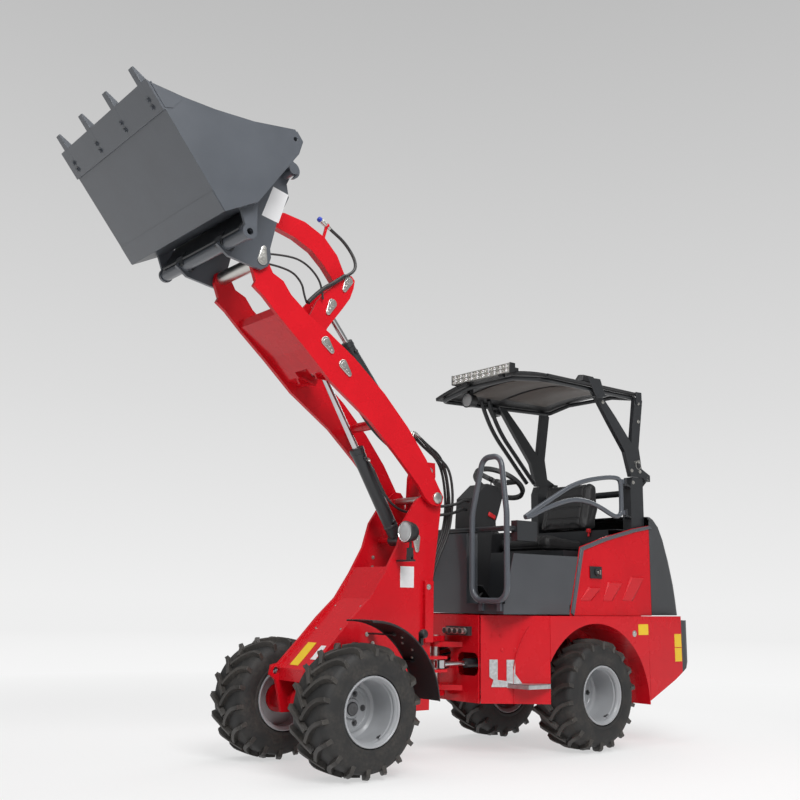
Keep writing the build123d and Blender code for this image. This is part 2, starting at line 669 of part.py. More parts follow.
# galvanised step hung on the left wall of the box
TREAD = [(-224, 381), (-255, 403), (-412, 527), (-412, 544), (-242, 534)]
STEP_T = 3
with BuildPart() as step:
    with BuildSketch(level(388)):
        Polygon(*TREAD, align=None)
    extrude(amount=26)
    with BuildSketch(level(388)) as inside:
        Polygon(*TREAD, align=None)
        offset(amount=-STEP_T, mode=Mode.REPLACE)
    extrude(amount=26 - STEP_T, mode=Mode.SUBTRACT)
    wall = Plane(origin=at(CAB_FRONT, CHASSIS_HALF + 1, 0), x_dir=(-155, 110, 0), z_dir=(110, 155, 0))
    with BuildSketch(wall):
        Polygon((49, 545), (49, 500), (120, 392), (176, 392), (176, 545), (150, 545), (140, 440), (84, 545),
                align=None)
    extrude(amount=4)
finish(step, "step")

# =====================================================================================
# Cab: floor and sill, front panel, sides, seat pedestal, seat, steering
# =====================================================================================
CAB_REAR = -742
with BuildPart() as cab_floor:
    block((CAB_REAR, CAB_FRONT), (-CAB_HALF, CAB_HALF), (SILL_Z, FLOOR_Z))
    block((CAB_REAR - 5, CAB_FRONT - SKIN), (-CAB_HALF + SKIN, CAB_HALF - SKIN), (SILL_Z - 5, FLOOR_Z - SKIN),
          mode=Mode.SUBTRACT)
    block((CAB_REAR, -657), (CAB_HALF - SKIN, CAB_HALF), (SILL_Z, FLOOR_Z), mode=Mode.SUBTRACT)
    block((CAB_REAR, -657), (-CAB_HALF, SKIN - CAB_HALF), (SILL_Z, FLOOR_Z), mode=Mode.SUBTRACT)
finish(cab_floor, "cab_floor")

with BuildPart() as cab_front:
    with BuildSketch(level(FLOOR_Z)):
        Polygon((CAB_FRONT, 170), (CAB_FRONT, -CAB_HALF), (CAB_FRONT - SKIN, -CAB_HALF),
                (CAB_FRONT - SKIN, 165), (CAB_FRONT - 90, 165), (CAB_FRONT - 90, 170), align=None)
    extrude(amount=RAIL_Z - FLOOR_Z - 16)
finish(cab_front, "cab_front")

SIDE_OUTLINE = [(-110, FLOOR_Z), (-185, 1150), (-742, 1150), (-668, FLOOR_Z)]
with BuildPart() as cab_sides:
    plate(SIDE_OUTLINE, CAB_HALF, SKIN)
    mirror(about=Plane.XZ)
finish(cab_sides, "cab_sides")

SHELF_Z = 1340
with BuildPart() as seat_pedestal:
    block((-1130, -700), (-400, 400), (FLOOR_Z, 1190))
    block((-1140, -705), (-395, 395), (FLOOR_Z - 5, 1185), mode=Mode.SUBTRACT)
    block((-1135, -1130), (-400, 400), (FLOOR_Z, SHELF_Z))
    block((-1440, -1305), (-370, 370), (SHELF_Z - 5, SHELF_Z))
    block((-1305, -1130), (-470, 470), (SHELF_Z - 5, SHELF_Z))
finish(seat_pedestal, "seat_pedestal")

with BuildPart() as seat_cushion:
    plate([(-1115, 1200), (-1115, 1290), (-1060, 1275), (-800, 1300), (-742, 1290), (-730, 1250), (-745, 1200)],
          235, 470)
    fillet(seat_cushion.edges().filter_by(Axis.Z), 12)
finish(seat_cushion, "seat_cushion")

with BuildPart() as seat_back:
    plate([(-1120, SHELF_Z + 5), (-1165, 1500), (-1195, 1660), (-1220, 1690), (-1275, 1670), (-1290, 1500),
           (-1240, SHELF_Z + 5)], 225, 450, rounding=12)
finish(seat_back, "seat_back")

with BuildPart() as steering_column:
    plate([(-215, FLOOR_Z), (-234, 1369), (-245, 1503), (-360, 1600), (-440, 1590), (-500, 1545), (-453, 1412),
           (-400, 1300), (-360, FLOOR_Z)], 80, 160)
finish(steering_column, "steering_column")

WHEEL_C = (-540, 1622)
with BuildPart() as steering_wheel:
    spin = Plane(origin=at(WHEEL_C[0], 0, WHEEL_C[1]), x_dir=(0, 1, 0), z_dir=(-sin(radians(30)), 0, cos(radians(30))))
    with BuildSketch(spin.offset(-12)):
        Circle(175)
        Circle(150, mode=Mode.SUBTRACT)
        Circle(35)
        with PolarLocations(0, 3):
            with Locations((90, 0)):
                Rectangle(130, 26)
    extrude(amount=24)
finish(steering_wheel, "steering_wheel")

with BuildPart() as side_panels:
    plate([(-660, 810), (-760, 1211), (-983, 1280), (-1274, 1350), (-1448, 1380), (-1448, 797), (-660, 797)],
          CAB_HALF, SKIN)
    mirror(about=Plane.XZ)
finish(side_panels, "side_panels")

LATCH = ((-340, -175), (470, 520), (1222, 1338))
with BuildPart() as handrails:
    tube([(-119, -470, RAIL_Z), (-119, 492, RAIL_Z), (-200, 492, RAIL_Z)], 16, 30)
    block(*LATCH)
finish(handrails, "handrails")

# closed loop that the driver holds when climbing in, on two feet against the sill
LOOP_X = -84
with BuildPart() as grab_loop:
    tube([(LOOP_X, 380, 878), (LOOP_X, 525, 878), (LOOP_X, 525, 1380), (LOOP_X, 480, 1710), (LOOP_X, 330, 1710),
          (LOOP_X, 237, 1380), (LOOP_X, 237, 878)], 17, [0, 80, 300, 70, 70, 300, 80], close=True)
    for low in (290, 440):
        block((CAB_FRONT, LOOP_X), (low, low + 30), (820, 870))
finish(grab_loop, "grab_loop")

# posts of the roll bar, with the gate's hinge lugs and pins and the canopy's hinge lugs
HINGE_R = 10
GATE_LUGS = (1420, 1620)
with BuildPart() as rops_frame:
    plate([(-1310, 800), (-1310, 1640), (-1335, 1695), (-1440, 1695), (-1440, 800)], POST_Y + 20, 70)
    plate([(-1430, 1640), (-1440, 1600), (-1532, 1680), (-1532, 1722), (-1490, 1722)], POST_Y - 20, 20)
    mirror(about=Plane.XZ)
    bar((-1400, 1600), 22, -POST_Y + 40, POST_Y - 40)
    for y in (POST_Y - 40, -POST_Y - 15):
        bar(FOLD, HINGE_R, y, y + 55)
    for low in GATE_LUGS:
        with BuildSketch(level(low)):
            Polygon((-1312, 400), (-1312, 450), (GATE_HINGE[0] - 6, 516), (GATE_HINGE[0] + 16, 494),
                    (GATE_HINGE[0] - 6, 482), (-1300, 400), align=None)
        extrude(amount=10)
        post(*GATE_HINGE, low, low + 50, HINGE_R)
finish(rops_frame, "rops_frame")

GATE_Y = 495
with BuildPart() as side_gate:
    tube([(-300, GATE_Y, 1368), (-401, GATE_Y, 1491), (-579, GATE_Y, 1577), (-812, GATE_Y, 1647),
          (-1074, GATE_Y, 1670), (-1150, GATE_Y, 1600), (-1140, GATE_Y, 1440), (-948, GATE_Y, 1449),
          (-668, GATE_Y, 1504), (-532, GATE_Y, 1476)], 15, [20, 110, 120, 120, 60, 30, 30, 120, 80, 80],
         close=True)
    for low in GATE_LUGS:
        post(*GATE_HINGE, low + 11, low + 45, 18)
        block((GATE_HINGE[0], -1125), (GATE_Y - 6, GATE_Y + 6), (low + 14, low + 42))
        post(*GATE_HINGE, low, low + 60, HINGE_R + RUN, mode=Mode.SUBTRACT)
finish(side_gate, "side_gate")

# Y-shaped canopy sides that fold on the posts, and the tube frame under the roof
with BuildPart() as canopy_frame:
    plate([(-1330, 1700), (-1275, 1860), (-1120, 2040), (-955, 2240), (-1015, 2240), (-1180, 2090),
           (-1345, 1925), (-1395, 2240), (-1460, 2240), (-1475, 2230), (-1420, 1900), (-1445, 1760),
           (-1532, 1722), (-1532, 1680), (-1490, 1680), (-1455, 1700)], POST_Y + 12, 30)
    tube([(-1455, 0, 2284), (-1455, 200, 2284), (-1455, 405, 2246), (-470, 480, 2222), (-470, 200, 2276),
          (-470, 0, 2276)], 14, [60, 40, 40, 60])
    mirror(about=Plane.XZ)
    for y in (POST_Y - 30, -POST_Y - 25):
        bar(FOLD, HINGE_R + RUN, y, y + 55, mode=Mode.SUBTRACT)
finish(canopy_frame, "canopy_frame")

# arched roof sheet, wider and lower at its front
ROOF_T = 22
ROOF_ENDS = [(-448, 520, 2250, 2330), (-1480, 430, 2280, 2332)]  # station, half width, side and crown height
with BuildPart() as roof:
    for x, half, low, crown in ROOF_ENDS:
        with BuildSketch(facing(x)):
            with BuildLine():
                ThreePointArc((-half, low), (0, crown), (half, low))
                Line((half, low), (half, low - ROOF_T))
                ThreePointArc((half, low - ROOF_T), (0, crown - ROOF_T), (-half, low - ROOF_T))
                Line((-half, low - ROOF_T), (-half, low))
            make_face()
    loft(ruled=True)
    # brackets of the light bar
    for y in (-205, 195):
        block((-520, -446), (y, y + 10), (2300, 2350))
finish(roof, "roof")

with BuildPart() as light_bar:
    block((-446, -402), (-310, 245), (2300, 2365))
    chamfer(light_bar.edges().filter_by(Axis.Y), 8)
finish(light_bar, "light_bar")

with BuildPart() as work_light:
    with BuildSketch(facing(-560)):
        with Locations((-260, 2205)):
            Circle(42)
    extrude(amount=60, taper=-8)
    block((-545, -515), (-275, -245), (2240, 2282))
finish(work_light, "work_light")

HOOD_OUTLINE = [(-1450, 800), (-1450, 1432), (-1600, 1449), (-1730, 1405), (-1800, 1300), (-1862, 1160),
                (-1868, 800)]
HOOD_PLAN = [(-1450, 480), (-1745, 480), (-1856, 400), (-1870, 300)]
HOOD_SKIN = 6
with BuildPart() as engine_hood:
    with BuildSketch(level(HOOD_OUTLINE[0][1])):
        Polygon(*HOOD_PLAN, *[(x, -y) for x, y in reversed(HOOD_PLAN)], align=None)
    extrude(amount=700)
    with BuildSketch(side(600)):
        Polygon(*HOOD_OUTLINE, align=None)
    extrude(amount=1200, mode=Mode.INTERSECT)
    open_faces = [engine_hood.faces().sort_by(Axis.Z)[0], engine_hood.faces().sort_by(Axis.X)[-1]]
    offset(amount=-HOOD_SKIN, openings=open_faces)
    # hinge knuckles under its front edge
    for y in (-340, 280):
        bar(HOOD_HINGE, 10, y, y + 60)
finish(engine_hood, "engine_hood")

# =====================================================================================
# Hydraulic couplers in front of the frame, and the hoses that are held along their whole length
# =====================================================================================
with BuildPart() as couplers:
    block((CAB_FRONT + WALL, -60), (33, 226), (676, 728))
    with BuildSketch(facing(-60)):
        with Locations(*[(y, 702) for y in (60, 106, 152, 198)]):
            Circle(15)
    extrude(amount=40)
finish(couplers, "couplers")

with BuildPart() as link_hose:
    tube([(830, 0, 3005), (729, 0, 2960), (668, 12, 2868), (700, 70, 2772), (800, 92, 2700)], 9, [50, 60, 50])
    # bracket and quick coupler on the link
    plate([(883, 2933), (896, 2945), (858, 3020), (846, 3010)], 6, 12)
    with BuildSketch(Plane(origin=at(826, 0, 3003), z_dir=(0.88, 0, 0.475))):
        Circle(13)
    extrude(amount=95)
finish(link_hose, "link_hose")
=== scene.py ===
"""Compact articulated loader: finishes, tyres, seat, hoses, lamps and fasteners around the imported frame."""
import json
from math import atan2, cos, exp, hypot, pi, radians, sin

import bmesh
import bpy
from mathutils import Matrix, Vector


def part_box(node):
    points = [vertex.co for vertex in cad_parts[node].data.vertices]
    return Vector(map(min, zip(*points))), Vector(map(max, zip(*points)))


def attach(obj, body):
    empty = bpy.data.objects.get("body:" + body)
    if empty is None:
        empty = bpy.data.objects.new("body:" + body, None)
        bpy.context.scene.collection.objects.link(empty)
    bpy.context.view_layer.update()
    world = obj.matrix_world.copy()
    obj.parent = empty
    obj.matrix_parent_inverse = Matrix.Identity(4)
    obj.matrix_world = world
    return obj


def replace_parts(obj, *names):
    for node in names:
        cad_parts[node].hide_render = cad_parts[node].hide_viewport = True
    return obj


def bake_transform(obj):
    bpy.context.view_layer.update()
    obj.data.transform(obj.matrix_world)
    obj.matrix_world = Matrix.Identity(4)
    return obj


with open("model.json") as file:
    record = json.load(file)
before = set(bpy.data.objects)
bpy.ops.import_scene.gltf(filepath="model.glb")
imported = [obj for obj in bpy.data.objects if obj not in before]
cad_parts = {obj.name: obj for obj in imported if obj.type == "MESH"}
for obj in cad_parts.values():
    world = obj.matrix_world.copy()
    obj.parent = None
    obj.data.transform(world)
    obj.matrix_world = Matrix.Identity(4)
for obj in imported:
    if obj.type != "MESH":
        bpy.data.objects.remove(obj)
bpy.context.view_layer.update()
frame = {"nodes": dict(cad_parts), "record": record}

PIVOT_X = -221  # station of the articulation, in the machine's millimetres


def at(x, y, z):
    """Point in metres from a station, a distance to the left and a height, in millimetres."""
    return Vector(((x + PIVOT_X) / 1000, y / 1000, z / 1000))


# ---- Finishes ----
class Shade:
    """A value in a tree of nodes; arithmetic on it adds Math nodes."""

    def __init__(self, nodes, socket):
        self.nodes, self.socket = nodes, socket

    def join(self, operation, *values):
        return self.nodes.add("ShaderNodeMath", {"operation": operation}, dict(enumerate(values)))

    def __add__(self, other):
        return self.join("ADD", self, other)

    def __mul__(self, other):
        return self.join("MULTIPLY", self, other)

    __radd__, __rmul__ = __add__, __mul__


class Nodes:
    """The nodes of one tree, added by calls."""

    def __init__(self, tree):
        self.tree = tree

    def put(self, socket, value):
        if isinstance(value, Shade):
            self.tree.links.new(value.socket, socket)
        else:
            socket.default_value = value

    def add(self, kind, settings=None, sockets=None, out=0):
        node = self.tree.nodes.new(kind)
        for name, value in (settings or {}).items():
            if name == "stops":
                stops = node.color_ramp.elements
                while len(stops) < len(value):
                    stops.new(1)
                for stop, (position, level) in zip(stops, value):
                    stop.position = position
                    stop.color = (level, level, level, 1)
            else:
                setattr(node, name, value)
        for name, value in (sockets or {}).items():
            self.put(node.inputs[name], value)
        return Shade(self, node.outputs[out])

class Finish(Nodes):
    """A material around one Principled shader."""

    def __init__(self, name, **values):
        self.material = bpy.data.materials.new(name)
        self.material.use_nodes = True
        super().__init__(self.material.node_tree)
        self.shader = self.tree.nodes["Principled BSDF"]
        self.place = self.add("ShaderNodeTexCoord", out="Object")
        self.set({name.replace("_", " ").title(): value for name, value in values.items()})

    def set(self, values):
        for name, value in values.items():
            self.put(self.shader.inputs[name], value)
        return self

    def noise(self, scale, detail=4, roughness=0.55, stretch=None):
        place = self.place
        if stretch:
            place = self.add("ShaderNodeVectorMath", {"operation": "MULTIPLY"}, {0: place, 1: stretch})
        values = {"Vector": place, "Scale": scale, "Detail": detail, "Roughness": roughness}
        return self.add("ShaderNodeTexNoise", None, values)

    def patches(self, scale, low, high, detail=4):
        """Soft patches from 0 to 1, with the share that the two levels set."""
        return self.add("ShaderNodeValToRGB", {"stops": [(low, 0), (high, 1)]},
                        {0: self.noise(scale, detail)})

    def mix(self, factor, first, second):
        """Mix of two colours."""
        sockets = {0: factor, 6: first, 7: second}
        return self.add("ShaderNodeMix", {"data_type": "RGBA"}, sockets, out=2)

    def bump(self, height, distance, under=None):
        sockets = {"Height": height, "Distance": distance, "Strength": 1.0}
        if under:
            sockets["Normal"] = under
        return self.add("ShaderNodeBump", None, sockets)

    def rounded(self, radius):
        """Normal that softens the sheet's edges."""
        return self.add("ShaderNodeBevel", {"samples": 4}, {"Radius": radius})


def tint(colour, share):
    return (*[min(1, value * share) for value in colour], 1)


def paint(name, colour, roughness, coat, edge=0.0015, spread=0.12, peel=0.00006, shine=0.45):
    """Sprayed paint with orange peel, faint handling marks and soft edges."""
    made = Finish(name)
    handled = made.noise(4.5, 5)
    surface = made.bump(made.noise(700, 2), peel, made.bump(made.noise(22, 3), peel * 3, made.rounded(edge)))
    made.set({
        "Base Color": made.mix(handled, tint(colour, 1 - spread), tint(colour, 1 + spread)),
        "Roughness": roughness + 0.14 * handled, "Normal": surface, "Specular IOR Level": shine,
        "Coat Weight": coat, "Coat Roughness": 0.06})
    return made.material


def moulding(name, colour, roughness, grain, spread=0.2):
    """Moulded plastic or textured coating with a fine pebble grain."""
    made = Finish(name)
    cloud = made.noise(6, 5)
    grains = made.add("ShaderNodeTexVoronoi", None, {"Vector": made.place, "Scale": grain})
    made.set({
        "Base Color": made.mix(cloud, tint(colour, 1 - spread), tint(colour, 1 + spread)),
        "Roughness": roughness + 0.12 * cloud,
        "Normal": made.bump(grains, 0.0002, made.rounded(0.0015))})
    return made.material


def metal(name, colour, roughness, scratch, spangle=0):
    """Bare or plated metal with drawn marks, and a crystal pattern where it is galvanised."""
    made = Finish(name, metallic=1.0)
    marks = made.noise(260, 3, stretch=(1, 0.08, 1))
    cloud = made.noise(14, 4)
    if spangle:
        crystals = made.add("ShaderNodeTexVoronoi", {"feature": "F1"},
                            {"Vector": made.place, "Scale": spangle}, "Color")
        cloud = made.add("ShaderNodeRGBToBW", None, {0: crystals})
    made.set({
        "Base Color": made.mix(cloud, tint(colour, 0.78), tint(colour, 1.1)),
        "Roughness": roughness + 0.1 * marks + 0.12 * cloud,
        "Normal": made.bump(marks, scratch, made.rounded(0.0008))})
    return made.material


def rubber(name, colour, roughness, dust, grain=420):
    """Rubber with a fine skin and pale dust in patches."""
    made = Finish(name)
    dusty = made.patches(9, 0.42, 0.7, 8) * made.patches(70, 0.3, 0.65)
    skin = made.noise(grain, 3)
    made.set({
        "Base Color": made.mix(dusty * dust, tint(colour, 1), (0.12, 0.105, 0.09, 1)),
        "Roughness": roughness + 0.2 * dusty,
        "Normal": made.bump(skin, 0.00025, made.bump(made.noise(60, 4), 0.0006))})
    return made.material


def upholstery():
    """Black seat vinyl with a leather-like grain."""
    made = Finish("seat_vinyl")
    cells = made.add("ShaderNodeTexVoronoi", {"feature": "DISTANCE_TO_EDGE"},
                     {"Vector": made.place, "Scale": 520})
    worn = made.noise(7, 4)
    made.set({
        "Base Color": made.mix(worn, (0.012, 0.012, 0.013, 1), (0.03, 0.03, 0.031, 1)),
        "Roughness": 0.42 + 0.2 * worn,
        "Normal": made.bump(cells, 0.0006, made.bump(made.noise(35, 4), 0.0008))})
    return made.material


def clear_lens():
    """Clear moulded lens with fine optic ribs."""
    made = Finish("clear_lens", roughness=0.05)
    ribs = made.add("ShaderNodeTexWave", {"bands_direction": "Y"},
                    {"Vector": made.place, "Scale": 55, "Distortion": 0})
    made.set({
        "Base Color": made.mix(ribs, (0.80, 0.82, 0.83, 1), (0.95, 0.96, 0.97, 1)),
        "Alpha": 0.38, "Normal": made.bump(ribs, 0.0008)})
    return made.material


RED = (0.60, 0.006, 0.014)
SLATE = (0.080, 0.089, 0.104)
BLACK = (0.014, 0.0145, 0.016)
FINISHES = {
    "red_paint": paint("red_gloss_paint", RED, 0.2, 0.15, shine=0.22),
    "grey_paint": paint("slate_satin_paint", SLATE, 0.27, 0.35, spread=0.18, peel=0.0001),
    "black_paint": paint("black_satin_paint", (0.022, 0.024, 0.027), 0.33, 0.15),
    "silver_paint": paint("silver_rim_paint", (0.36, 0.37, 0.385), 0.3, 0.2, edge=0.001),
    "chrome": metal("polished_chrome", (0.60, 0.60, 0.61), 0.08, 0.00002),
    "zinc": metal("zinc_plate", (0.62, 0.61, 0.58), 0.24, 0.00006),
    "tyre_rubber": rubber("tyre_rubber", (0.016, 0.016, 0.016), 0.62, 0.42),
    "black_plastic": moulding("black_moulding", BLACK, 0.42, 900),
    "grey_plastic": moulding("hood_moulding", (0.05, 0.053, 0.057), 0.5, 420),
    "seat_cover": upholstery(),
    "lamp": moulding("lamp_housing", (0.02, 0.02, 0.021), 0.32, 800),
    "hose_rubber": rubber("hose_rubber", (0.014, 0.014, 0.015), 0.38, 0.15, 900),
    "engine_black": paint("engine_paint", (0.03, 0.03, 0.032), 0.45, 0.0),
}
CAB_PAINT = paint("cab_gloss_paint", (0.062, 0.066, 0.074), 0.12, 0.7, spread=0.1)
DARK_STEEL = metal("dark_steel", (0.16, 0.16, 0.165), 0.32, 0.0001)
REFLECTOR = metal("lamp_reflector", (0.93, 0.93, 0.93), 0.12, 0.00001)
WORN_RUBBER = rubber("lug_rubber", (0.040, 0.037, 0.034), 0.45, 0.5)
GALVANISED = metal("galvanised_sheet", (0.60, 0.61, 0.62), 0.34, 0.0001, spangle=90)
YELLOW = paint("yellow_plate", (0.83, 0.55, 0.01), 0.35, 0.3, edge=0.0003, spread=0.05)
WHITE = paint("white_plate", (0.75, 0.75, 0.76), 0.35, 0.3, edge=0.0003, spread=0.04)
BROWN = moulding("roof_lining", (0.13, 0.112, 0.10), 0.6, 500)
BLUE = moulding("blue_cap", (0.02, 0.05, 0.42), 0.35, 900, 0.1)
RED_PLASTIC = moulding("red_switch", (0.55, 0.01, 0.015), 0.3, 900, 0.1)
LENS = clear_lens()

for part in frame["record"]["subparts"]:
    shown = frame["nodes"][part["node"]]
    for holder in shown.material_slots:
        holder.material = FINISHES[part["material_slot"]]
for node in ("cab_floor", "cab_front", "cab_sides"):
    for holder in frame["nodes"][node].material_slots:
        holder.material = CAB_PAINT


# ---- Shapes ----
def facing(point, axis, up=(0, 0, 1)):
    """Matrix that puts local Z along an axis, and local X as near as it can to another direction."""
    z = Vector(axis).normalized()
    x = Vector(up) - z * Vector(up).dot(z)
    x.normalize()
    turned = Matrix((x, z.cross(x), z)).transposed().to_4x4()
    turned.translation = point
    return turned


def linked(name, data):
    """New object of that data in the scene."""
    made = bpy.data.objects.new(name, data)
    bpy.context.scene.collection.objects.link(made)
    return made


def span(out, near, far):
    """Two distances to the left, in rising order, on the side that out gives."""
    return sorted((out * near, out * far))


class Form:
    """Mesh of one piece, gathered from small shapes in metres."""

    def __init__(self):
        self.mesh = bmesh.new()

    def skin(self, rings, closed=True, caps=(True, True)):
        """Faces between rings of points of equal count."""
        rows = [[self.mesh.verts.new(point) for point in ring] for ring in rings]
        count = len(rows[0])
        for near, far in zip(rows, rows[1:]):
            for k in range(count if closed else count - 1):
                self.mesh.faces.new((near[k], near[(k + 1) % count], far[(k + 1) % count], far[k]))
        if caps[0]:
            self.mesh.faces.new(rows[0][::-1])
        if caps[1]:
            self.mesh.faces.new(rows[-1])
        return self

    def turned(self, place, profile, steps=32, caps=(True, True)):
        """Round shape from (radius, height) pairs in millimetres, along the place's Z."""
        rings = []
        for radius, height in profile:
            ring = []
            for k in range(steps):
                angle = 2 * pi * k / steps
                ring.append(place @ (Vector((radius * cos(angle), radius * sin(angle), height)) / 1000))
            rings.append(ring)
        return self.skin(rings, caps=caps)

    def spin(self, point, axis, profile, steps=32, caps=(True, True)):
        """Round shape that starts at a point in millimetres and follows an axis."""
        return self.turned(facing(at(*point), axis), profile, steps, caps)

    def sheet(self, outline, y):
        """Flat shape from an outline in the side view, between two distances to the left."""
        return self.skin([[at(px, left, pz) for px, pz in outline] for left in y])

    def prism(self, place, outline, low, high, draft=0):
        """Straight shape from an outline in millimetres; draft draws its top in towards the middle."""
        middle = Vector((sum(p[0] for p in outline), sum(p[1] for p in outline))) / len(outline)
        rings = []
        for height, share in ((low, 1), (high, 1 - draft)):
            ring = [middle + (Vector(p) - middle) * share for p in outline]
            rings.append([place @ (Vector((p.x, p.y, height)) / 1000) for p in ring])
        return self.skin(rings)

    def block(self, x, y, z):
        """Box between two stations, two distances to the left and two heights."""
        rings = []
        for height in z:
            rings.append([at(a, b, height)
                          for a, b in ((x[0], y[0]), (x[1], y[0]), (x[1], y[1]), (x[0], y[1]))])
        return self.skin(rings)

    def bolt(self, point, axis, across=13, thread=0):
        """Hexagon bolt head on its washer, with the thread's end past the nut where it shows."""
        place = facing(point, axis)
        head = across / 2 / cos(pi / 6)
        self.turned(place, [(across * 0.95, 0), (across * 0.95, across * 0.14)], 20)
        hexagon = [(head * cos(pi * k / 3), head * sin(pi * k / 3)) for k in range(6)]
        self.prism(place, hexagon, across * 0.14, across * 0.62)
        self.turned(place, [(across * 0.42, across * 0.6), (across * 0.3, across * 0.68 + thread)], 16)
        return self

    def hose(self, route, radius, ribs=0, sides=14):
        """Round hose in millimetres of radius along a smooth line, ribbed where a pitch is given."""
        line = smooth(route)
        if ribs:
            line = spaced(line, ribs / 2000)
        rings = []
        side = Vector((0, 1, 0))
        for k, point in enumerate(line):
            along = (line[min(k + 1, len(line) - 1)] - line[max(k - 1, 0)]).normalized()
            side = (side - along * side.dot(along)).normalized()
            other = along.cross(side)
            size = (radius + (1.1 if ribs and k % 2 else 0)) / 1000
            rings.append([point + (side * cos(2 * pi * j / sides) + other * sin(2 * pi * j / sides)) * size
                          for j in range(sides)])
        return self.skin(rings)

    def piece(self, name, slot, body, finish=None, bevel=0, crease=32):
        bmesh.ops.recalc_face_normals(self.mesh, faces=self.mesh.faces)
        data = bpy.data.meshes.new(name)
        self.mesh.to_mesh(data)
        self.mesh.free()
        data.shade_smooth()
        data.set_sharp_from_angle(angle=radians(crease))
        made = linked(name, data)
        data.materials.append(finish or FINISHES[slot])
        if bevel:
            rounding = made.modifiers.new("rounding", "BEVEL")
            rounding.width = bevel / 1000
            rounding.segments = 2
            rounding.limit_method = "ANGLE"
            rounding.angle_limit = radians(40)
        if isinstance(body, tuple):
            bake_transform(made)
        else:
            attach(made, body)
        return made


def smooth(route):
    """Points along the smooth line that a hose takes past its route's points."""
    curve = bpy.data.curves.new("route", "CURVE")
    curve.dimensions = "3D"
    curve.resolution_u = 16
    spline = curve.splines.new("NURBS")
    spline.points.add(len(route) - 1)
    for knot, point in zip(spline.points, route):
        knot.co = (*at(*point), 1)
    spline.use_endpoint_u = True
    spline.order_u = 3
    holder = bpy.data.objects.new("route", curve)
    line = bpy.data.meshes.new_from_object(holder)
    found = [vertex.co.copy() for vertex in line.vertices]
    bpy.data.objects.remove(holder)
    bpy.data.meshes.remove(line)
    return found


def spaced(line, pitch):
    """The same line with its points evenly spaced."""
    found, travelled = [line[0]], 0
    for near, far in zip(line, line[1:]):
        length = (far - near).length
        while length and travelled + length >= pitch * len(found):
            share = (pitch * len(found) - travelled) / length
            found.append(near.lerp(far, share))
        travelled += length
    return found


def side_face(x, z, y, out=1):
    """Place on a face of the side view, its Z pointing outward and its X to the rear on the left side."""
    return facing(at(x, y, z), (0, out, 0), (1, 0, 0))


# ---- Wheels ----
AXLE, TRACK_HALF, WHEEL_RADIUS, NUTS = 870, 397.5, 330, 5
WHEELS = {"front_left": (AXLE, TRACK_HALF), "front_right": (AXLE, -TRACK_HALF),
          "rear_left": (-AXLE, TRACK_HALF), "rear_right": (-AXLE, -TRACK_HALF)}
TYRE_PROFILE = [  # distance from the tyre's middle, radius
    (-138, 177.5), (-147, 179), (-149, 188), (-146, 197), (-148.5, 206), (-149.6, 232), (-148, 254),
    (-143, 273), (-134, 287), (-122, 296), (-106, 301), (-60, 303.5), (0, 304)]
LUG_LINE = [  # distance across the tread, distance round it, half width, radius of the top
    (-9, -58, 9, 329.5), (12, -34, 9.5, 329.5), (36, -9, 10, 329.5), (62, 13, 10, 329), (88, 30, 10, 328),
    (112, 41, 10, 325), (132, 47, 10.5, 318), (146, 50, 11, 306)]
LUGS = 18
RIM_PROFILE = [  # radius, distance outward from the tyre's middle
    (36, -60), (100, -60), (149, -52), (149, -128), (158, -140), (166, -146), (172, -146), (173.5, -143),
    (173.5, -138), (157, -134), (157, 134), (170, 136.5), (173.5, 138.5), (173.5, 143), (171.5, 146),
    (167, 146.5), (162, 143), (159, 136), (154, 131), (151, 122), (152, 112), (148, 104), (147, 30),
    (146, -18), (140, -32), (126, -41), (117, -41.5), (113, -36.5), (108, -36), (98, -36), (94, -40),
    (56, -40), (52, -37), (48, -30), (40, -28)]


def tread_base(v):
    """Radius of the carcass under a lug."""
    far = max(0, abs(v) - 96)
    return 301 - far * far * 0.012


def lug_ring(hub, row, turn, level):
    """Outline of a lug's bar at a share of its height, wider at its foot."""
    ring = []
    for edge in (-1, 1):
        side = []
        for k, (v, s, half, top) in enumerate(LUG_LINE):
            near, far = LUG_LINE[max(k - 1, 0)], LUG_LINE[min(k + 1, len(LUG_LINE) - 1)]
            along = Vector((far[0] - near[0], far[1] - near[1])).normalized()
            reach = edge * (half + 4.5 * (1 - level) ** 2)
            base = tread_base(v) - 4
            radius = base + (top - base) * level
            angle = turn + (s + along.x * reach) / 316
            across = row * min(v - along.y * reach, 149) / 1000
            side.append(hub + Vector((cos(angle) * radius / 1000, across, sin(angle) * radius / 1000)))
        ring += side[::edge]
    return ring


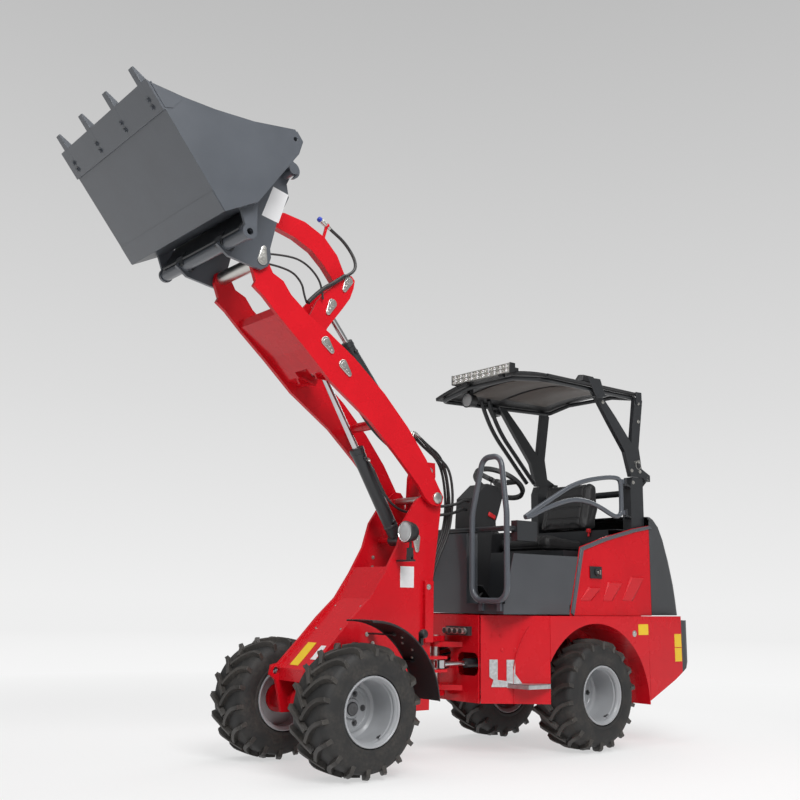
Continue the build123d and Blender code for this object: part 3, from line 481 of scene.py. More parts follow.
for name, (x, y) in WHEELS.items():
    body = "wheel_" + name
    out = 1 if y > 0 else -1
    hub = at(x, y, WHEEL_RADIUS)
    carcass = Form()
    half = [(radius, v) for v, radius in TYRE_PROFILE]
    carcass.turned(facing(hub, (0, 1, 0), (1, 0, 0)), half + [(radius, -v) for radius, v in half[-2::-1]], 96,
                   caps=(False, False))
    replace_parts(carcass.piece("carcass_" + name, "tyre_rubber", body), "tyre_" + name)
    tread = Form()
    for row in (-1, 1):
        for k in range(LUGS):
            turn = 2 * pi / LUGS * (k + 0.25 * row)
            tread.skin([lug_ring(hub, row, turn, level) for level in (0, 0.45, 1)])
    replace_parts(tread.piece("lugs_" + name, "tyre_rubber", body, WORN_RUBBER, bevel=1.4), "tyre_" + name)

    rim = Form()
    outward = facing(hub, (0, out, 0), (1, 0, 0))
    rim.turned(outward, RIM_PROFILE, 96)
    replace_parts(rim.piece("rim_disc_" + name, "silver_paint", body, crease=24), "rim_" + name)
    fittings = Form()
    for k in range(NUTS):
        angle = radians(360 / NUTS * k + (0 if out > 0 else 36))
        spot = hub + Vector((-0.074 * cos(angle), out * -0.040, 0.074 * sin(angle)))
        fittings.bolt(spot, (0, out, 0), 17, 5)
    fittings.turned(outward, [(34, -38), (34, -24), (31, -19), (26, -17.5), (22, -18.5), (5, -18.5),
                              (1, -17.5)], 36)
    stem = hub + Vector((0.146 * cos(radians(-118)), out * 0.100, 0.146 * sin(radians(-118))))
    fittings.turned(facing(stem, (0.3, out, 0.5)),
                    [(7, -6), (7, 0), (4, 3), (4, 22), (5, 23), (5, 34), (3, 35)], 14)
    fittings.piece("wheel_fittings_" + name, "zinc", body, DARK_STEEL)

# ---- Pins with their teardrop keepers ----
# pivots: station and height
BOOM_PIN, ROCKER_PIN, LIFT_EYE = (172, 1461), (992, 2259), (870, 2148)
LIFT_BASE, TILT_BASE = (300, 1220), (100, 1640)
ROCKER_MID, ROCKER_TOP, HITCH_PIN, LINK_FRONT = (860, 2532), (750, 2690), (1429, 2625), (1300, 2950)


def keeper(form, pin, slope, y, out):
    """Teardrop plate with the pin's end in it and two bolts along its tail."""
    away = Vector((cos(radians(slope)), sin(radians(slope))))
    lead = atan2(away.y, away.x)
    outline = []
    for k in range(19):
        angle = lead + radians(105) + radians(150) * k / 18
        outline.append((30 * cos(angle), 30 * sin(angle)))
    for k in range(9):
        angle = lead - radians(75) + radians(150) * k / 8
        outline.append((62 * away.x + 15 * cos(angle), 62 * away.y + 15 * sin(angle)))
    place = Matrix.Translation(at(pin[0], y, pin[1]))
    rings = []
    for depth, share in ((0, 1), (6.5, 1), (8, 0.93)):
        rings.append([place @ Vector((px * share / 1000, out * depth / 1000, pz * share / 1000))
                      for px, pz in outline])
    form.skin(rings)
    centre = at(pin[0], y + out * 8, pin[1])
    form.turned(facing(centre, (0, out, 0)), [(18, -1), (18, 1), (16, 2.5), (6, 2.5), (5, 0.8), (1, 0.8)], 28)
    for far in (36, 58):
        spot = at(pin[0] + away.x * far, y + out * 8, pin[1] + away.y * far)
        form.bolt(spot, (0, out, 0), 8)


boom_set = Form()
for out in (1, -1):
    boom_set.spin((BOOM_PIN[0], 0, BOOM_PIN[1]), (0, out, 0), [(22, 0), (22, 214)], 28)
    boom_set.spin((BOOM_PIN[0], out * 212, BOOM_PIN[1]), (0, out, 0),
                    [(34, 0), (34, 4), (32, 8), (26, 11.5), (16, 13.5), (1, 14)], 36)
    boom_set.spin((LIFT_EYE[0], out * 80, LIFT_EYE[1]), (0, out, 0), [(18, 0), (18, 131)], 24)
    for pin in (ROCKER_PIN, LIFT_EYE):
        keeper(boom_set, pin, -132, out * 212, out)
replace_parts(boom_set.piece("boom_pin_set", "zinc", "boom"), "boom_pins")

rocker_set = Form()
for out in (1, -1):
    keeper(rocker_set, ROCKER_MID, -64, out * 72, out)
    keeper(rocker_set, ROCKER_TOP, -64, out * 72, out)
rocker_set.piece("rocker_keepers", "zinc", "rocker")

hitch_set = Form()
for out in (1, -1):
    keeper(hitch_set, HITCH_PIN, 95, out * 237, out)
    keeper(hitch_set, LINK_FRONT, 150, out * 66, out)
hitch_set.piece("hitch_keepers", "zinc", "hitch")

tower_set = Form()
for out in (1, -1):
    keeper(tower_set, LIFT_BASE, -95, out * 175, out)
tower_set.piece("tower_keepers", "zinc", "front")

# ---- Bucket: bolts, corner plates, tooth shanks, welds and a dark plate of painted shade in the hitch ----
EDGE, HEEL = (2246, 3232), (1818, 2704)
SLOPE = atan2(EDGE[1] - HEEL[1], EDGE[0] - HEEL[0])
TEETH_Y = (-460, -153, 153, 460)


def on_bottom(u, n, y):
    """Point on the bucket's bottom plate: u forward from the edge, n into the bucket."""
    return at(EDGE[0] + u * cos(SLOPE) - n * sin(SLOPE), y, EDGE[1] + u * sin(SLOPE) + n * cos(SLOPE))


def bottom_ring(y, outline):
    return [on_bottom(u, n, y) for u, n in outline]


bucket_set = Form()
for y in TEETH_Y:
    for u in (-100, -62):
        bucket_set.bolt(on_bottom(u, -12, y), (sin(SLOPE), 0, -cos(SLOPE)), 17)
for y in (-519, 519):
    out = 1 if y > 0 else -1
    bucket_set.sheet(((2243, 3229), (2163, 3130), (2120, 3140), (2080, 3196), (2096, 3210)),
                     (y + out * 9, y + out * 13))
bucket_set.skin([bottom_ring(y, [(-567, 0), (-567, -3), (-676, -3), (-676, 0)]) for y in (-526, 526)])
bucket_set.piece("bucket_bolts", "grey_paint", "hitch")

tips = Form()
for y in TEETH_Y:
    tips.skin([bottom_ring(y - 21, [(-64, 11), (28, 23), (60, 9), (60, -12.5), (-64, -12.5)]),
               bottom_ring(y + 21, [(-64, 11), (28, 23), (60, 9), (60, -12.5), (-64, -12.5)])])
tips.piece("tooth_shanks", "grey_paint", "hitch", bevel=2.5)

welds = Form()
for y in (-518, 518):
    inner = 1 if y < 0 else -1
    for start, end in ((EDGE, HEEL), (HEEL, (1637, 2800)), ((1637, 2800), (1409, 3124))):
        away = Vector((end[0] - start[0], end[1] - start[1])).normalized()
        left = Vector((away.y, -away.x))
        row = []
        steps = int(hypot(end[0] - start[0], end[1] - start[1]) / 9)
        for k in range(steps + 1):
            share = k / steps
            point = Vector(start).lerp(Vector(end), share) + left * 11
            swell = 3.6 + 0.7 * (k % 2)
            ring = []
            for j in range(6):
                angle = 2 * pi * j / 6
                offset = -left * cos(angle) * swell
                ring.append(at(point.x + offset.x, y + inner * (1 + sin(angle) * swell), point.y + offset.y))
            row.append(ring)
        welds.skin(row)
welds.piece("bucket_welds", "grey_paint", "hitch", crease=80)

BACK = Vector((-228, 324)).normalized()


def on_back(u, n, y):
    """Point by the bucket's back plate: u up along it from its foot, n away from the bucket."""
    return at(1637 + u * BACK.x - n * BACK.y, y, 2800 + u * BACK.y + n * BACK.x)


# Black plate and feet across the hitch's lugs: painted shade, a dark sheet put where the inside of the hitch
# lies in shadow
cross = Form()
cross.skin([[on_back(u, n, y) for u, n in ((-128, 38), (-122, 28), (40, 6), (46, 14))] for y in (-420, 420)])
for y in (-217, 217):
    foot = ((-150, 50), (-110, 20), (-60, 20), (-60, 110), (-130, 120))
    cross.skin([[on_back(u, n, y + d) for u, n in foot] for d in (-38, 38)])
cross.piece("hitch_shade_plate", "grey_paint", "hitch", FINISHES["black_paint"], bevel=2)

# ---- Hoses and couplers ----
lines = Form()
lines.hose([(1301, 92, 2725), (1166, 96, 2745), (1058, 96, 2723), (974, 94, 2659), (945, 90, 2600),
            (935, 90, 2540)], 6)
lines.hose([(1305, 78, 2672), (1163, 80, 2676), (1074, 80, 2614), (1056, 80, 2540), (1040, 84, 2500)], 6)
lines.piece("tilt_hoses", "hose_rubber", "boom")

bundle = Form()
for y, shift, r in ((46, 0, 8), (66, -14, 8), (86, 8, 7), (104, -24, 8)):
    bundle.hose([(236, y, 1846 + shift / 2), (196, y, 1822 + shift / 2), (130, y, 1776 + shift),
                 (44, y, 1730 + shift), (-10 + shift / 2, y, 1650), (-36 + shift / 2, y, 1520),
                 (-44, y - 4, 1400), (-22, y - 8, 1270),
                 (60, y - 10, 1116), (112, y - 12, 980), (124, y - 14, 860)], r)
bundle.piece("main_hoses", "hose_rubber", ("front", "boom", at(-40, 70, 1400), at(180, 70, 1800)))

elbows = Form()
for y, shift in ((46, 0), (66, -14), (86, 8), (104, -24)):
    elbows.spin((230, y, 1843 + shift / 2), (0.86, 0, 0.5),
                  [(9, -16), (9, 0), (11, 1), (11, 12), (8, 14), (8, 22)], 6)
    elbows.hose([(246, y, 1852 + shift / 2), (262, y, 1858 + shift / 2), (270, y, 1846), (276, y, 1816)], 6.5)
elbows.piece("hose_elbows", "zinc", "boom")

link_line = Form()
link_line.hose([(862, 0, 3024), (815, 0, 2998), (745, 0, 2962), (690, 6, 2905), (668, 24, 2845),
                (688, 56, 2782), (745, 82, 2732), (800, 92, 2700)], 9.5)
link_line.hose([(788, 90, 2712), (860, 94, 2655), (931, 96, 2609), (1000, 97, 2545), (1043, 98, 2498)], 12,
               ribs=8)
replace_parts(link_line.piece("link_line", "hose_rubber", "link"), "link_hose")

quick = Form()
quick.spin((846, 0, 3015), (0.88, 0, 0.475),
             [(10, -8), (13, 0), (13, 16), (11, 18), (11, 30), (15, 32), (15, 58), (12, 62), (12, 70)], 24)
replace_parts(quick.piece("quick_coupler", "zinc", "link"), "link_hose")
cap = Form()
cap.spin((906, 0, 3047), (0.88, 0, 0.475), [(13, 0), (16, 2), (16, 16), (12, 22), (4, 24)], 24)
cap.piece("coupler_cap", "black_plastic", "link", BLUE, bevel=0.6)
clamp = Form()
clamp.sheet(((882, 2930), (894, 2940), (872, 3026), (858, 3020)), (-7, 7))
clamp.spin((862, 0, 3024), (0.88, 0, 0.475), [(17, -6), (17, 6)], 24)
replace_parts(clamp.piece("hose_clamp", "red_paint", "link", bevel=0.8), "link_hose")

ports = Form()
for y in (60, 106, 152, 198):
    ports.spin((-62, y, 702), (1, 0, 0), [(19, 0), (19, 10), (15, 12), (15, 24), (18, 25), (18, 40),
                                                      (9, 41), (8, 32), (1, 32)], 24)
ports.piece("coupler_ports", "engine_black", "rear", FINISHES["zinc"])

pivot_lines = Form()
for y, z in ((20, 470), (-10, 500), (-40, 530), (-70, 560)):
    pivot_lines.hose([(-180, y, z + 40), (-95, y, z + 25), (-40, y - 6, z + 10), (60, y - 10, z),
                      (150, y, z - 10), (240, y, z)], 8)
for y, z in ((118, 1428), (100, 1377)):
    pivot_lines.hose([(43, y - 20, z), (-30, y, z + 10), (-90, y, z + 30), (-143, y - 10, z + 52),
                      (-200, y - 40, z + 50)], 9)
pivot_lines.piece("pivot_hoses", "hose_rubber", ("front", "rear", at(100, 0, 900), at(-120, 0, 900)))

lift_line = Form()
lift_line.hose([(556, 48, 1652), (548, 74, 1620), (510, 84, 1540), (452, 86, 1450), (380, 88, 1396),
                (300, 96, 1374), (240, 110, 1370)], 7.5)
lift_line.piece("lift_hose", "hose_rubber", "lift_barrel")
lift_port = Form()
lift_port.spin((560, 34, 1668), (0, 1, 0), [(10, 0), (10, 8), (8, 9), (8, 22), (1, 23)], 6)
lift_port.spin((556, 48, 1664), (-0.2, 0.1, -1), [(9, -8), (9, 8), (7, 10), (7, 20)], 6)
lift_port.piece("lift_hose_port", "zinc", "lift_barrel")

boom_lines = Form()
for y in (96, 112):
    boom_lines.hose([(760, y, 2050), (700, y + 6, 1960), (600, y + 8, 1850), (500, y + 12, 1770),
                     (400, y + 20, 1715), (310, y + 10, 1700)], 7)
boom_lines.piece("boom_hoses", "hose_rubber", "boom")

BARRELS = (  # body, base pin, rod's eye, radius, length
    ("lift_barrel", LIFT_BASE, LIFT_EYE, 40, 600), ("tilt_barrel", TILT_BASE, ROCKER_MID, 34, 930))
for body, base, eye, r, length in BARRELS:
    away = Vector((eye[0] - base[0], 0, eye[1] - base[1])).normalized()
    gland = Form()
    start = at(base[0], 0, base[1])
    gland.turned(facing(start + away * (length - 34) / 1000, away),
                 [(r, 0), (r + 3.5, 2), (r + 3.5, 30), (r - 4, 34), (20, 35), (19, 33)], 40)
    gland.turned(facing(start + away * 0.085, away), [(r, 0), (r + 2.5, 3), (r + 2.5, 14), (r, 18)], 40)
    side = facing(start + away * 0.12, (0, 1, 0), away)
    gland.turned(Matrix.Translation((0, (r - 2) / 1000, 0)) @ side, [(11, 0), (11, 16), (8, 18)], 20)
    gland.turned(facing(start + away * (length - 70) / 1000 + Vector((0, (r - 2) / 1000, 0)), (0, 1, 0)),
                 [(11, 0), (11, 14), (8, 16)], 20)
    gland.piece(body + "_gland", "black_paint", body)

# ---- Lamps ----
lamp_place = facing(at(463, 290, 1247), (1, 0, 0))
housing = Form()
housing.turned(lamp_place, [(14, -66), (34, -62), (50, -44), (57, -16), (59, 0), (61, 2), (61, 12), (58, 15),
                            (55, 13)], 48)
housing.block((420, 448), (272, 300), (1108, 1160))
housing.block((428, 440), (284, 296), (1150, 1192))
housing.block((404, 444), (175, 300), (1086, 1096))
for x in (424, 444):
    housing.block((x - 3, x + 3), (268, 304), (1092, 1124))
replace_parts(housing.piece("headlight_housing", "lamp", "front", bevel=1.5), "headlights")
bowl = Form()
bowl.turned(lamp_place, [(56, 12), (58, 16), (55.5, 18), (53, 15), (52, 11), (30, 5), (14, 2), (12, 9),
                         (8, 11), (1, 11)], 48)
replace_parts(bowl.piece("headlight_bowl", "chrome", "front", REFLECTOR), "headlights")
glass = Form()
glass.turned(lamp_place, [(53, 14), (45, 20), (30, 24), (14, 26.5), (1, 27)], 48)
glass.piece("headlight_lens", "lamp", "front", LENS, crease=80)
marker = Form()
marker.spin((487, 470, 700), (-0.2, 1, 0.3), [(1, -20), (20, -18), (24, -6), (24, 10), (18, 18), (1, 20)], 24)
marker.block((478, 496), (440, 462), (640, 706))
marker.piece("marker_lamp", "lamp", "front", bevel=1, crease=50)

guard = Form()
rows = []
for k in range(29):
    angle = radians(88 + 88 * k / 28)
    lip = []
    for y, r in ((322, 434), (322, 441), (330, 443), (430, 445), (540, 443), (549, 437), (549, 430),
                 (545, 430), (545, 437),
                 (538, 439), (430, 441), (330, 439), (326, 434)):
        lip.append(at(AXLE + r * cos(angle), y, WHEEL_RADIUS + r * sin(angle)))
    rows.append(lip)
guard.skin(rows)
for x, z in ((590, 690), (465, 550)):
    guard.block((x, x + 50), (175, 400), (z, z + 8))
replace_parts(guard.piece("mudguard", "black_plastic", "front"), "mudguards")
bolts = Form()
for angle, y in ((124, 392), (127, 436), (133, 396), (139, 440), (146, 400)):
    spot = Vector((AXLE + 440 * cos(radians(angle)), WHEEL_RADIUS + 440 * sin(radians(angle))))
    bolts.bolt(at(spot.x, y, spot.y), (-cos(radians(angle)), 0, -sin(radians(angle))), 9)
bolts.piece("mudguard_bolts", "zinc", "front")

bar = Form()
bar.block((-446, -409), (-302, 237), (2303, 2362))
for k in range(8):
    bar.block((-452, -446), (-300, 235), (2306 + k * 7, 2309 + k * 7))
for z in (2303, 2330.5, 2358):
    bar.block((-409, -402.5), (-302, 237), (z, z + 4))
for k in range(11):
    y = -302 + k * 53.5
    bar.block((-409, -403.5), (y, y + 4), (2303, 2362))
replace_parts(bar.piece("light_bar_body", "lamp", "canopy", FINISHES["zinc"], bevel=0.8), "light_bar")
led = Form()
for k in range(10):
    for z in (2318.5, 2346):
        led.spin((-409, -273.5 + k * 53.5, z), (1, 0, 0),
                 [(12, 0), (11.5, 4.5), (7, 1), (3, 0.5), (2.5, 2.5), (1, 3)], 20)
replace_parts(led.piece("light_bar_leds", "lamp", "canopy", REFLECTOR, crease=60), "light_bar")
strip = Form()
for y in (-310, 237):
    strip.block((-450, -403), (y, y + 8), (2300, 2365))
for y in (-200, 130):
    strip.block((-440, -412), (y, y + 34), (2284, 2304))
strip.piece("light_bar_ends", "black_plastic", "canopy", bevel=1)

worklamp = Form()
place = facing(at(-500, -260, 2205), (1, 0, 0))
worklamp.turned(place, [(50, -6), (52, 0), (48, 3), (46, 0)], 40)
worklamp.piece("work_lamp_rim", "black_plastic", "canopy")
worklens = Form()
worklens.turned(place, [(46, -0.5), (36, 3), (20, 5), (1, 6)], 40)
worklens.piece("work_lamp_lens", "lamp", "canopy", LENS, crease=80)

beacon = Form()
beacon.prism(facing(at(-940, 400, 2288), (0, 0.12, 1), (1, 0, 0)),
             [(-70, -34), (70, -34), (82, 0), (70, 34), (-70, 34), (-82, 0)], 0, 42, 0.3)
beacon.piece("roof_lamp", "black_plastic", "canopy", bevel=3)

# ---- Canopy: lining, edge rolls, tubes, brackets, bolts and the gate ----
lining = Form()
for start, end, half in ((-620, -900, 350), (-935, -1330, 320)):
    rows = []
    for k in range(3):
        x = start + (end - start) * k / 2
        share = (-448 - x) / 1032
        wide, low, crown = 520 - 90 * share, 2250 + 30 * share, 2330 + 2 * share
        ring = []
        for j in range(13):
            y = -half + 2 * half * j / 12
            ring.append(at(x, y, low - 25 + (crown - low) * (1 - (y / wide) ** 2)))
        rows.append(ring)
    lining.skin(rows, closed=False, caps=(False, False))
lining_piece = lining.piece("roof_lining", "black_plastic", "canopy", BROWN, crease=60)
shell = lining_piece.modifiers.new("sheet", "SOLIDIFY")
shell.thickness = 0.003

roll = Form()
roll.hose([(-452, -518, 2242), (-452, -260, 2303), (-452, 0, 2321), (-452, 260, 2303), (-452, 518, 2242)], 9)
roll.hose([(-1474, -428, 2272), (-1474, -215, 2314), (-1474, 0, 2325), (-1474, 215, 2314),
           (-1474, 428, 2272)], 9)
for out in (1, -1):
    roll.hose([(-452, out * 516, 2243), (-800, out * 488, 2252), (-1150, out * 458, 2263),
               (-1474, out * 428, 2272)], 10)
roll.piece("roof_edge", "black_plastic", "canopy", crease=60)

struts = Form()
for shift in (0, 36):
    struts.hose([(-790 - shift, shift - 424, 2262), (-815 - shift, shift - 424, 2190),
                 (-915 - shift, shift - 424, 2030), (-1050 - shift, shift - 424, 1900),
                 (-1150 - shift, shift - 424, 1800), (-1240 - shift, shift - 424, 1715)], 15)
struts.piece("canopy_tubes", "black_paint", "canopy", crease=60)
brackets = Form()
for out in (1, -1):
    brackets.sheet(((-862, 2296), (-985, 2302), (-1035, 2190), (-950, 2170)), (out * 483, out * 489))
    brackets.block((-1015, -960), span(out, 440, 484), (2188, 2216))
    brackets.sheet(((-1400, 2282), (-1462, 2284), (-1462, 2200), (-1405, 2200)), (out * 443, out * 449))
brackets.piece("canopy_brackets", "black_paint", "canopy", bevel=2)

hardware = Form()
for out in (1, -1):
    y = out * 442
    for x, z in ((-985, 2215), (-1430, 2205), (-1340, 1740), (-1425, 1740), (-1060, 2165), (-1425, 2080)):
        hardware.bolt(at(x, y, z), (0, out, 0), 13)
    hardware.spin((-1380, y, 1800), (0, out, 0), [(9, 0), (9, 22), (12, 24), (12, 30), (1, 31)], 20)
hardware.piece("canopy_bolts", "zinc", "canopy")

lock_rings = Form()
for out in (1, -1):
    loop = []
    for k in range(25):
        angle = 2 * pi * k / 24
        loop.append(at(-1380 + 26 * cos(angle), out * 466, 1776 + 26 * sin(angle)))
    rings = []
    middle, left = at(-1380, out * 466, 1776), Vector((0, 1, 0))
    for k in range(24):
        away = (loop[k] - middle).normalized()
        rings.append([loop[k] + (away * cos(2 * pi * j / 8) + left * sin(2 * pi * j / 8)) * 0.0016
                      for j in range(8)])
    lock_rings.skin(rings + [rings[0]], caps=(False, False))
lock_rings.piece("lock_pin_rings", "zinc", "canopy", crease=80)

posts = Form()
for out in (1, -1):
    for x, z in ((-1340, 860), (-1410, 860), (-1340, 1300), (-1410, 1300), (-1340, 1660)):
        posts.bolt(at(x, out * 450, z), (0, out, 0), 13)
    posts.spin((-1510, out * 434, 1700), (0, out, 0), [(18, 0), (18, 5), (12, 8), (1, 9)], 24)
posts.piece("post_bolts", "zinc", "rear")

HINGE_X, HINGE_Y, HINGE_LOWS = -1195, 500, (1420, 1620)
gate_set = Form()
for low in HINGE_LOWS:
    gate_set.spin((HINGE_X, HINGE_Y, low + 50), (0, 0, 1), [(17, 0), (17, 5), (11, 10), (1, 11)], 20)
    gate_set.spin((HINGE_X, HINGE_Y, low), (0, 0, -1), [(15, 0), (15, 5), (9, 9), (1, 9)], 20)
gate_set.piece("gate_hinge_nuts", "zinc", "rear")

gate = Form()
GATE_LOOP = [
    (-268, 1363), (-360, 1416), (-482, 1480), (-590, 1537), (-695, 1588), (-825, 1628), (-950, 1652),
    (-1050, 1666), (-1120, 1668), (-1152, 1648), (-1154, 1560), (-1154, 1480), (-1148, 1436), (-1104, 1414),
    (-1040, 1430), (-943, 1468), (-850, 1490), (-754, 1500), (-660, 1490), (-571, 1466), (-480, 1438),
    (-394, 1406), (-320, 1370),
    (-268, 1363)]
gate.hose([(x, 495, z) for x, z in GATE_LOOP], 15)
for low in HINGE_LOWS:
    gate.spin((HINGE_X, HINGE_Y, low + 11), (0, 0, 1), [(16, 0), (18, 2), (18, 32), (16, 34)], 24)
    gate.block((HINGE_X, HINGE_X + 55), (489, 501), (low + 14, low + 42))
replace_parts(gate.piece("gate_loop", "grey_paint", "gate"), "side_gate")

# ---- Body: door trim, louvres, latch, seams, plugs and plates ----
trim = Form()
path = [(-663, 812), (-762, 1209), (-984, 1278), (-1274, 1348), (-1444, 1379)]
for out in (1, -1):
    rings = []
    for k, (x, z) in enumerate(path):
        rings.append([at(x, out * 476, z), at(x - 4, out * 489, z - 2), at(x - 26, out * 489, z - 16),
                      at(x - 30, out * 480.6, z - 20)])
    trim.skin(rings)
trim.piece("door_trim", "grey_plastic", "rear", FINISHES["grey_paint"], bevel=1.5)

louvres = Form()
LOUVRES = [  # foot's front and rear station, top's front and rear station, height of the foot and of the top
    (-751, -857, -833, -941, 885, 970), (-965, -1058, -1016, -1150, 886, 1006),
    (-1151, -1257, -1245, -1372, 889, 1043)]
for out in (1, -1):
    for a, b, c, d, low, high in LOUVRES:
        rings = [
            [at(a, out * 480.2, low), at(b, out * 480.2, low), at(d, out * 480.2, high),
             at(c, out * 480.2, high)],
            [at(a - 6, out * 481, low + 6), at(b + 6, out * 481, low + 6), at(d + 8, out * 493, high - 6),
             at(c - 6, out * 493, high - 6)]]
        louvres.skin(rings)
louvres.piece("door_louvres", "red_paint", "rear", bevel=2)

latch = Form()
for out in (1, -1):
    latch.block((-955, -846), span(out, 480, 489), (1022, 1096))
    latch.spin((-905, out * 489, 1060), (0, out, 0), [(22, 0), (22, 8), (18, 11), (1, 11)], 28)
latch.piece("door_latch", "black_plastic", "rear", bevel=3)
key = Form()
key.spin((-905, 500, 1060), (0, 1, 0), [(9, 0), (9, 4), (2, 5), (2, 12)], 18)
key.block((-908, -902), (504, 520), (1046, 1072))
key.piece("door_key", "zinc", "rear", bevel=0.6)

seams = Form()
for out in (1, -1):
    arc = [(402, 487), (412, 530), (430, 584), (467, 657), (496, 700), (529, 735)]
    seams.hose([(-253.5, out * y, z) for y, z in arc], 3)
    seams.hose([(-254, out * 402, 300), (-254, out * 402, 400), (-254, out * 402, 488)], 3)
seams.piece("wall_seam", "red_paint", "rear", crease=80)

wall = Form()
normal = Vector((110, 155, 0)).normalized()
for share, z, r in ((0.62, 598, 11), (0.22, 598, 11)):
    spot = at(-100 - 155 * (0.45 + share), 290 + 110 * (0.45 + share), z)
    wall.turned(facing(spot, normal), [(r, -2), (r, 2), (r - 3, 4), (1, 4.5)], 24)
for x, y, z in ((-150, 327, 679), (-196, 360, 678)):
    wall.turned(facing(at(x, y, z), normal), [(9, -2), (9, 2.5), (6, 3), (5, 1), (1, 1)], 24)
wall.piece("wall_plugs", "zinc", "rear", FINISHES["red_paint"])

filler = Form()
for out in (1, -1):
    filler.spin((-1202, out * 530, 688), (0, out, 0),
                [(20, -1), (20, 2), (16, 3.5), (13, 3), (11, 6), (1, 7)], 32)
filler.piece("frame_plugs", "zinc", "rear")


def plate(name, x, z, size, y, finish, body):
    """Blank plate of a width and height on the left side."""
    form = Form()
    place = side_face(x, z, y)
    w, h = size[0] / 2, size[1] / 2
    form.prism(place, [(-w, -h), (w, -h), (w, h), (-w, h)], 0, 0.6)
    form.piece(name, "red_paint", body, finish, bevel=0.2)


FRAME_FACE = 530.1
plate("rear_plate_left", -1293, 712, (100, 66), FRAME_FACE, YELLOW, "rear")
plate("rear_plate_upper", -1650, 640, (72, 84), FRAME_FACE, YELLOW, "rear")
plate("rear_plate_lower", -1650, 550, (72, 86), FRAME_FACE, YELLOW, "rear")
plate("tower_plate_left", 362, 1003, (100, 118), 175.1, WHITE, "front")
stops = Form()
for out in (1, -1):
    stops.block((182, 244), span(out, 172, 200), (640, 985))
stops.piece("tower_stops", "red_paint", "front", bevel=3)
stop_bolts = Form()
for out in (1, -1):
    stop_bolts.bolt(at(222, out * 200, 950), (0, out, 0), 17)
    for x, z in ((355, 1120), (360, 1062), (372, 985)):
        stop_bolts.bolt(at(x, -out * 154, z), (0, out, 0), 12)
for y in (-120, 120):
    for x, z in ((770, 714), (640, 836)):
        stop_bolts.bolt(at(x, y, z - 2), (0.7, 0, 0.7), 12)
stop_bolts.piece("tower_stop_bolts", "zinc", "front")
front_plate = Form()
front_plate.skin([[at(964 + d, -78, 524 + d), at(964 + d, 2, 524 + d), at(848 + d, 2, 640 + d),
                   at(848 + d, -78, 640 + d)]
            for d in (0.3, 1)])
front_plate.piece("tower_front_plate", "red_paint", "front", YELLOW)
small_plate = Form()
small_plate.skin([[at(930 + d, 66, 558 + d), at(930 + d, 112, 558 + d), at(860 + d, 112, 628 + d),
                   at(860 + d, 66, 628 + d)]
            for d in (0.3, 1)])
small_plate.piece("tower_small_plate", "red_paint", "front", WHITE)
sign = Form()
sign.sheet(((1444, 2870), (1339, 2850), (1283, 3027), (1380, 3048)), (237.2, 237.9))
sign.piece("hitch_plate_blank", "grey_paint", "hitch", WHITE)

guards = Form()
for out in (1, -1):
    for x, z in ((640, 690), (600, 640)):
        guards.bolt(at(x, out * 176, z), (0, out, 0), 13)
guards.piece("tower_bolts", "zinc", "front")

# the step: hangers on the wall, a tray and its raised grip rings
wall_frame = facing(at(-100, 291, 0), (110, 155, 0), (-155, 110, 0))
step = Form()
step.prism(wall_frame, [(50, 545), (98, 545), (98, 432), (150, 426), (150, 545), (200, 545), (200, 392),
                        (60, 392),
                        (74, 432), (50, 448)][::-1], 0, 4)
TREAD = [(-224, 381), (-255, 403), (-412, 527), (-412, 544), (-242, 534)]
tray = Matrix.Translation(at(0, 0, 0))
step.prism(tray, TREAD, 408, 414)
for (x, y), (far_x, far_y) in zip(TREAD, TREAD[1:] + TREAD[:1]):
    away = Vector((far_y - y, x - far_x)).normalized() * 3
    step.prism(tray, [(x, y), (far_x, far_y), (far_x + away.x, far_y + away.y), (x + away.x, y + away.y)],
               388, 414)
for row in range(3):
    for k in range(6):
        x, y = -262 - k * 24, 440 + k * 12 + row * 26 - 14
        if y < 530:
            step.spin((x, y, 413), (0, 0, 1), [(8, 0), (7, 3), (5, 3.5), (4.4, 0.5)], 16, caps=(False, False))
step.prism(facing(at(-258, 404, 414), (0.58, 0.82, 0), (-0.82, 0.58, 0)), [(0, 0), (46, 0), (0, 60)], 0, 3)
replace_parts(step.piece("step_bracket", "zinc", "rear", GALVANISED, bevel=0.6), "step")

# ---- Driver's place ----
controls = Form()
controls.spin((-431, 40, 1600), (0.15, 0.1, 1),
              [(4, 0), (4, 22), (16, 28), (19, 38), (16, 48), (6, 53), (1, 53)], 24)
console = Form()
console.sheet(((-690, 1150), (-680, 1290), (-720, 1322), (-900, 1338), (-1010, 1330), (-1020, 1150)),
              (-345, -256))
console.piece("side_console", "black_plastic", "rear", bevel=10)
for x, y, z, tilt in ((-735, -300, 1320, 0.1), (-800, -300, 1326, 0.05)):
    controls.spin((x, y, z), (tilt, 0, 1), [(26, 0), (22, 10), (14, 24), (6, 40), (5, 150), (17, 160),
                                            (21, 182), (19, 206), (8, 216), (1, 216)], 24)
controls.spin((-945, 320, 1190), (0, 0, 1), [(20, 0), (16, 8), (5, 12), (5, 26), (12, 30), (12, 44), (1, 47)],
              20)
controls.piece("levers", "black_plastic", "rear", crease=50)

switch = Form()
place = facing(at(-395, 81, 1400), (0, 1, 0), (1, 0, 0.4))
switch.prism(place, [(-32, -15), (32, -15), (32, 15), (-32, 15)], 0, 8, 0.12)
switch.piece("dash_switch", "black_plastic", "rear", RED_PLASTIC, bevel=2)

buckle = Form()
buckle.spin((-1119, 244, 1300), (0, 0.1, 1), [(7, 0), (7, 30)], 12)
buckle.block((-1132, -1106), (236, 256), (1326, 1352))
buckle.piece("belt_buckle", "black_plastic", "rear", RED_PLASTIC, bevel=3)

